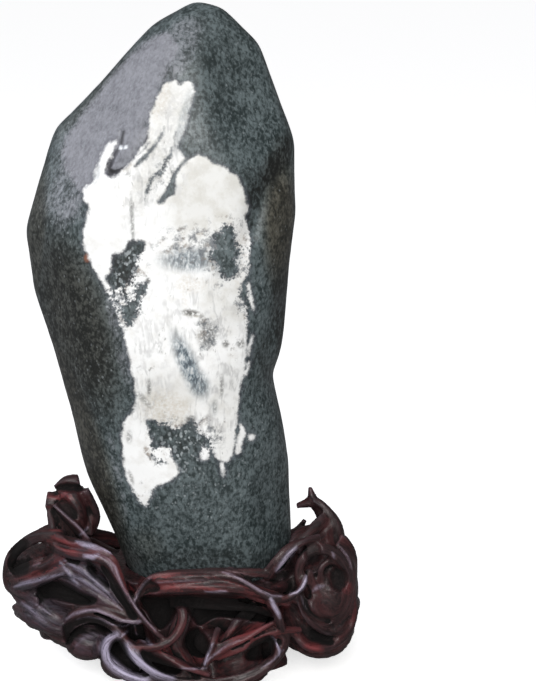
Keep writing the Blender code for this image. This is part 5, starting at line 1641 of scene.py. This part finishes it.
def crests_at(places):
    """How high in mm, and how light and cool from wear and painted highlight, the crests are at rows of
    (across, up).
    """
    high, light, cool = (np.zeros(len(places)) for _ in range(3))
    for line, height, coolness, lightness in CARVED_CRESTS.values():
        width = max(point[2] for point in line)
        rows = close_to(places, on_photo(line), 2 * width)
        share = eased(CREST_RISE * within_line(places[rows], line) / width + CREST_EDGE)
        high[rows] = np.maximum(high[rows], height * share)
        cool[rows] = np.where(lightness * share > light[rows], coolness, cool[rows])
        light[rows] = np.maximum(light[rows], lightness * share)
    return high, light, cool


def carve_front(mesh, points):
    """Cuts the hollows into the stand's front and raises its crests. The points are in mm."""
    places = picture_of(points)
    sight = points - np.array(VIEW_EYE)
    sight /= np.linalg.norm(sight, axis=1)[:, None]
    front = in_front(points, CARVING_FADE_DEPTH)
    normals = normals_of(mesh)
    facing = np.clip(-2 * (normals * sight).sum(axis=1), 0, 1)
    deep, high = hollows_at(places)[0], crests_at(places)[0]
    return points + sight * (deep * front)[:, None] + normals * (high * front * facing)[:, None]


def soften_where(mesh, points, weight, rounds):
    """Averages each point with its neighbours, as much as its weight says."""
    edges = rows_of(mesh.edges, "vertices", 2, int)
    start, end = edges.T
    count = np.bincount(edges.ravel(), minlength=len(points))[:, None]
    for _ in range(rounds):
        total = [
            np.bincount(start, points[end, k], len(points)) + np.bincount(end, points[start, k], len(points))
            for k in range(3)
        ]
        points = points + weight[:, None] * (np.stack(total, axis=1) / count - points)
    return points


def fit_in_box(places, low, high):
    """Shrinks places so that they stay just inside a box."""
    for axis in range(2):
        middle = (low[axis] + high[axis]) / 2
        half = (high[axis] - low[axis]) / 2 - INSIDE_BOX * MM
        reach = np.abs(places[:, axis] - middle).max()
        if reach > half:
            places[:, axis] = middle + (places[:, axis] - middle) * half / reach
    return places


def hollow_of(mesh):
    """How closed in each of a mesh's points is, from 0 in the open to 1 in a deep hollow, for the shade painted
    there.
    """
    places, normals = places_of(mesh), normals_of(mesh)
    mesh.calc_loop_triangles()
    triangles = rows_of(mesh.loop_triangles, "vertices", 3, int)
    tree = BVHTree.FromPolygons([Vector(p) for p in places], [tuple(t) for t in triangles])
    turns = np.arange(HOLLOW_RAYS) * math.pi * (3 - math.sqrt(5))
    rise = 1 - (np.arange(HOLLOW_RAYS) + 0.5) / HOLLOW_RAYS
    flat = np.sqrt(1 - rise**2)
    rays = np.stack([flat * np.cos(turns), flat * np.sin(turns), rise], axis=1)
    closed = np.zeros(len(places))
    for row, (place, normal) in enumerate(zip(places, normals)):
        up = Vector(normal)
        turn = up.to_track_quat("Z", "X").to_matrix()
        start = Vector(place) + up * RAY_START * MM
        for ray, weight in zip(rays, rise):
            hit = tree.ray_cast(start, turn @ Vector(ray), HOLLOW_REACH * MM)
            if hit[0] is not None:
                closed[row] += weight * (1 - hit[3] / (HOLLOW_REACH * MM))
    return closed / rise.sum()


def ridge_of(mesh):
    """How sharply each point stands out of the mesh round it, above nothing on a ridge."""
    places, normals = places_of(mesh), normals_of(mesh)
    edges = rows_of(mesh.edges, "vertices", 2, int)
    total, count = np.zeros(len(places)), np.zeros(len(places))
    for a, b in (edges.T, edges.T[::-1]):
        step = places[b] - places[a]
        np.add.at(total, a, -(step * normals[a]).sum(axis=1) / (step**2).sum(axis=1))
        np.add.at(count, a, 1)
    bend = total / np.maximum(count, 1) * MM
    for _ in range(2):
        total, count = bend.copy(), np.ones(len(places))
        for a, b in (edges.T, edges.T[::-1]):
            np.add.at(total, a, bend[b])
            np.add.at(count, a, 1)
        bend = total / count
    return bend


def stand_cutters():
    """The stone's foot with a little room round it, and a block below the floor."""
    crowded = (1 - np.cos(math.pi * (np.arange(CUTTER_SIDES) + 0.5) / CUTTER_SIDES)) / 2
    cutter = stone_object("seat_cutter", *stone_form(even_angles(CUTTER_SIDES), crowded))
    move_points(cutter.data, places_of(cutter.data) + normals_of(cutter.data) * SEAT_GAP * MM)
    mesh = bmesh.new()
    below = Matrix.Translation((0, 0, -FLOOR_BLOCK[2] * MM / 2))
    bmesh.ops.create_cube(mesh, size=1, matrix=below @ Matrix.Diagonal((*(Vector(FLOOR_BLOCK) * MM), 1)))
    return cutter, object_of("floor_cutter", mesh)


def stand_material():
    """Dark reddish-brown carved wood under a thin semi-gloss lacquer, with painted shade in its hollows and
    painted highlights on its crests.
    """
    graph = Graph("carved_wood_finish")
    grain = graph.kept("grain", "Vector")
    streak = graph.noise(graph.stretch(grain, (1, 1, 0.10)), 1.1, 4, 0.62)
    broad_streak = graph.noise(graph.stretch(grain, (1, 1, 0.12)), 3.4, 3, 0.6)
    pores = graph.noise(graph.stretch(grain, (1, 1, 0.06)), 0.45, 2, 0.6)
    patch = graph.noise(graph.place_in_mm(), 13, 3, 0.6)

    wood = graph.blend(streak.fade(0.32, 0.68), *WOOD_COLOURS["wood"])
    grey = graph.blend(streak.fade(0.32, 0.68), *WOOD_COLOURS["grey"])
    ruddy = graph.blend(broad_streak.fade(0.38, 0.64), *WOOD_COLOURS["red"])
    warmth = graph.kept("red") * patch.fade(0.30, 0.62, 0.15, 0.7)
    warmth = graph.calc("MAXIMUM", warmth, graph.kept("red_area"))
    colour = graph.blend(warmth, graph.blend(graph.kept("cool"), wood, grey), ruddy)
    colour = graph.blend(graph.kept("ridge").fade(0.03, 0.30) * 0.18, colour, WOOD_COLOURS["edge"])
    # The crests lighten towards lavender, partly wear and partly painted highlight.
    crest_colour = graph.blend(graph.kept("crest_cool"), *WOOD_COLOURS["crest"])
    colour = graph.blend(graph.kept("crest") * streak.fade(0.30, 0.62, 0.25, 1.0), colour, crest_colour)
    # Painted shade: the hollows found by rays and the carved ones go near black.
    closed = graph.calc("MAXIMUM", graph.kept("hollow_shade").fade(0.08, 0.34), graph.kept("pit_shade"))
    colour = graph.blend(closed * 0.97, colour, WOOD_COLOURS["hollow_shade"])

    gloss = streak.fade(0.3, 0.7, 0.50, 0.33) + closed * 0.55
    height = streak * 0.22 + broad_streak * 0.30 + pores * 0.06
    return graph.finish(colour, gloss, WOOD_SPECULAR, height, WOOD_BUMP)


def mark_stand(mesh, grain):
    """Keeps the way of the grain, the stand's tints, and its painted shade and highlights on its mesh, for the
    material.
    """
    points = points_of(mesh)
    places = picture_of(points)
    front = in_front(points, CARVING_FADE_DEPTH)
    nearest = grain.nearest(points)
    _, crest, crest_cool = crests_at(places)
    for name, values in (
        # Painted shade in the hollows and pits.
        ("hollow_shade", hollow_of(mesh)),
        ("ridge", ridge_of(mesh)),
        ("pit_shade", hollows_at(places)[1] * front),
        ("crest", crest * front),
        ("crest_cool", crest_cool),
        ("cool", stained(places, COOL_AREAS) * front),
        ("red", grain.red[nearest]),
        ("red_area", stained(places, RED_AREAS) * front),
    ):
        keep_number(mesh, name, values)
    starts = rows_of(mesh.polygons, "loop_start", 1, int)[:, 0]
    counts = rows_of(mesh.polygons, "loop_total", 1, int)[:, 0]
    corners = rows_of(mesh.loops, "vertex_index", 1, int)[:, 0]
    rows = grain.at(points[corners], np.repeat(nearest[corners[starts]], counts))
    kept = mesh.attributes.new("grain", "FLOAT_VECTOR", "CORNER")
    kept.data.foreach_set("vector", rows.astype(np.float32).ravel())


def make_stand():
    """The carved stand, in place of the plain solid."""
    roots = all_roots()
    stand = raw_stand(roots)
    remesh = stand.modifiers.new("grow_together", "REMESH")
    remesh.mode = "VOXEL"
    remesh.voxel_size = STAND_VOXEL * MM
    stand.modifiers.new("soften", "SMOOTH").iterations = STAND_SMOOTHING
    apply_modifiers(stand)
    keep_largest_body(stand)

    grain = Grain(roots)
    points = points_of(stand.data)
    rows = grain.at(points, grain.nearest(points))
    merged = stained(picture_of(points), MERGED_AREAS) * (points[:, 1] < 0)
    points = soften_where(stand.data, points, 0.5 * merged, MERGED_ROUNDS)
    move_points(stand.data, rows_in_row(points))
    points = points - normals_of(stand.data) * groove_depth(rows)[:, None]
    points = carve_front(stand.data, points)
    move_points(stand.data, fit_in_box(rows_in_row(points), *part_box("stand")))

    facets = stand.modifiers.new("facets", "DECIMATE")
    facets.ratio = STAND_TRIANGLES / (2 * len(stand.data.polygons))
    facets.use_collapse_triangulate = True
    cutters = stand_cutters()
    for name, cutter in zip(("seat", "foot"), cutters):
        cut = stand.modifiers.new(name, "BOOLEAN")
        cut.operation = "DIFFERENCE"
        cut.solver = "MANIFOLD"
        cut.object = cutter
    apply_modifiers(stand)
    for cutter in cutters:
        bpy.data.objects.remove(cutter)
    keep_largest_body(stand)

    stand.data.shade_smooth()
    mark_stand(stand.data, grain)
    stand.data.materials.clear()
    stand.data.materials.append(stand_material())
    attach(stand, "root")
    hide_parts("stand")


def add_camera():
    """The camera, where the photograph was taken from."""
    data = bpy.data.cameras.new("camera")
    data.lens = CAMERA_LENS
    data.sensor_width = CAMERA_SENSOR
    camera = new_object("camera", data)
    camera.location = in_row(VIEW_EYE)
    camera.rotation_euler = (math.pi / 2 - VIEW_TILT, 0, 0)
    bpy.context.scene.camera = camera


def add_lights():
    """Soft light from above, a cool window at the left, and a weak fill at the front right."""
    data = bpy.data.lights.new("sky_light", "SUN")
    data.energy = SUN["energy"]
    data.angle = math.radians(SUN["angle"])
    data.color = SUN["colour"]
    new_object("sky_light", data).rotation_euler = [math.radians(turn) for turn in (*SUN["turn"], 0)]
    for name, light in AREA_LIGHTS.items():
        data = bpy.data.lights.new(name, "AREA")
        data.size = light["size"]
        data.energy = light["power"]
        data.color = light["colour"]
        made = new_object(name, data)
        made.location = light["at"]
        aim = Vector(light["towards"]) - Vector(light["at"])
        made.rotation_euler = aim.to_track_quat("-Z", "Y").to_euler()


def add_world():
    """A white room to the eye, which lights the object only a little."""
    world = bpy.data.worlds.new("room")
    bpy.context.scene.world = world
    world.use_nodes = True
    tree = world.node_tree
    background = tree.nodes["Background"]
    background.inputs["Color"].default_value = (1, 1, 1, 1)
    path = tree.nodes.new("ShaderNodeLightPath")
    strength = tree.nodes.new("ShaderNodeMapRange")
    strength.inputs["To Min"].default_value = ROOM_LIGHT
    tree.links.new(path.outputs["Is Camera Ray"], strength.inputs["Value"])
    tree.links.new(strength.outputs["Result"], background.inputs["Strength"])


def add_floor():
    """A plain white floor."""
    mesh = bmesh.new()
    bmesh.ops.create_circle(mesh, cap_ends=True, radius=FLOOR_RADIUS, segments=FLOOR_SIDES)
    floor = object_of("floor", mesh)
    floor.location.z = -FLOOR_DROP
    graph = Graph("floor_paper")
    tooth = graph.noise(graph.place_in_mm(), 2.0, 3, 0.6)
    seen = graph.node("LightPath", "Is Camera Ray", {})
    for name, value in (
        ("Base Color", graph.blend(seen, FLOOR_BOUNCE, graph.blend(tooth, *FLOOR_COLOURS))),
        ("Emission Color", (1, 1, 1, 1)),
        ("Emission Strength", seen * FLOOR_GLOW),
        ("Roughness", FLOOR_ROUGHNESS),
        ("Specular IOR Level", FLOOR_SPECULAR),
    ):
        graph.feed(graph.shader.inputs[name], value)
    floor.data.materials.append(graph.material)


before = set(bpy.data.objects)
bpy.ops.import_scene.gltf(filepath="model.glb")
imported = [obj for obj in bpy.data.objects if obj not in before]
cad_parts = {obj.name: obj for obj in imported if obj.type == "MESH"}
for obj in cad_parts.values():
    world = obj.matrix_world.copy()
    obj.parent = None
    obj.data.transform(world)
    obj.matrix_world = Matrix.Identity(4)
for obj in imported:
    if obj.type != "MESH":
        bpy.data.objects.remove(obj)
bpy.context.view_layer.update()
add_camera()
add_world()
add_lights()
add_floor()
make_stone()
make_stand()
bpy.context.scene.view_settings.view_transform = "Standard"
bpy.context.view_layer.update()
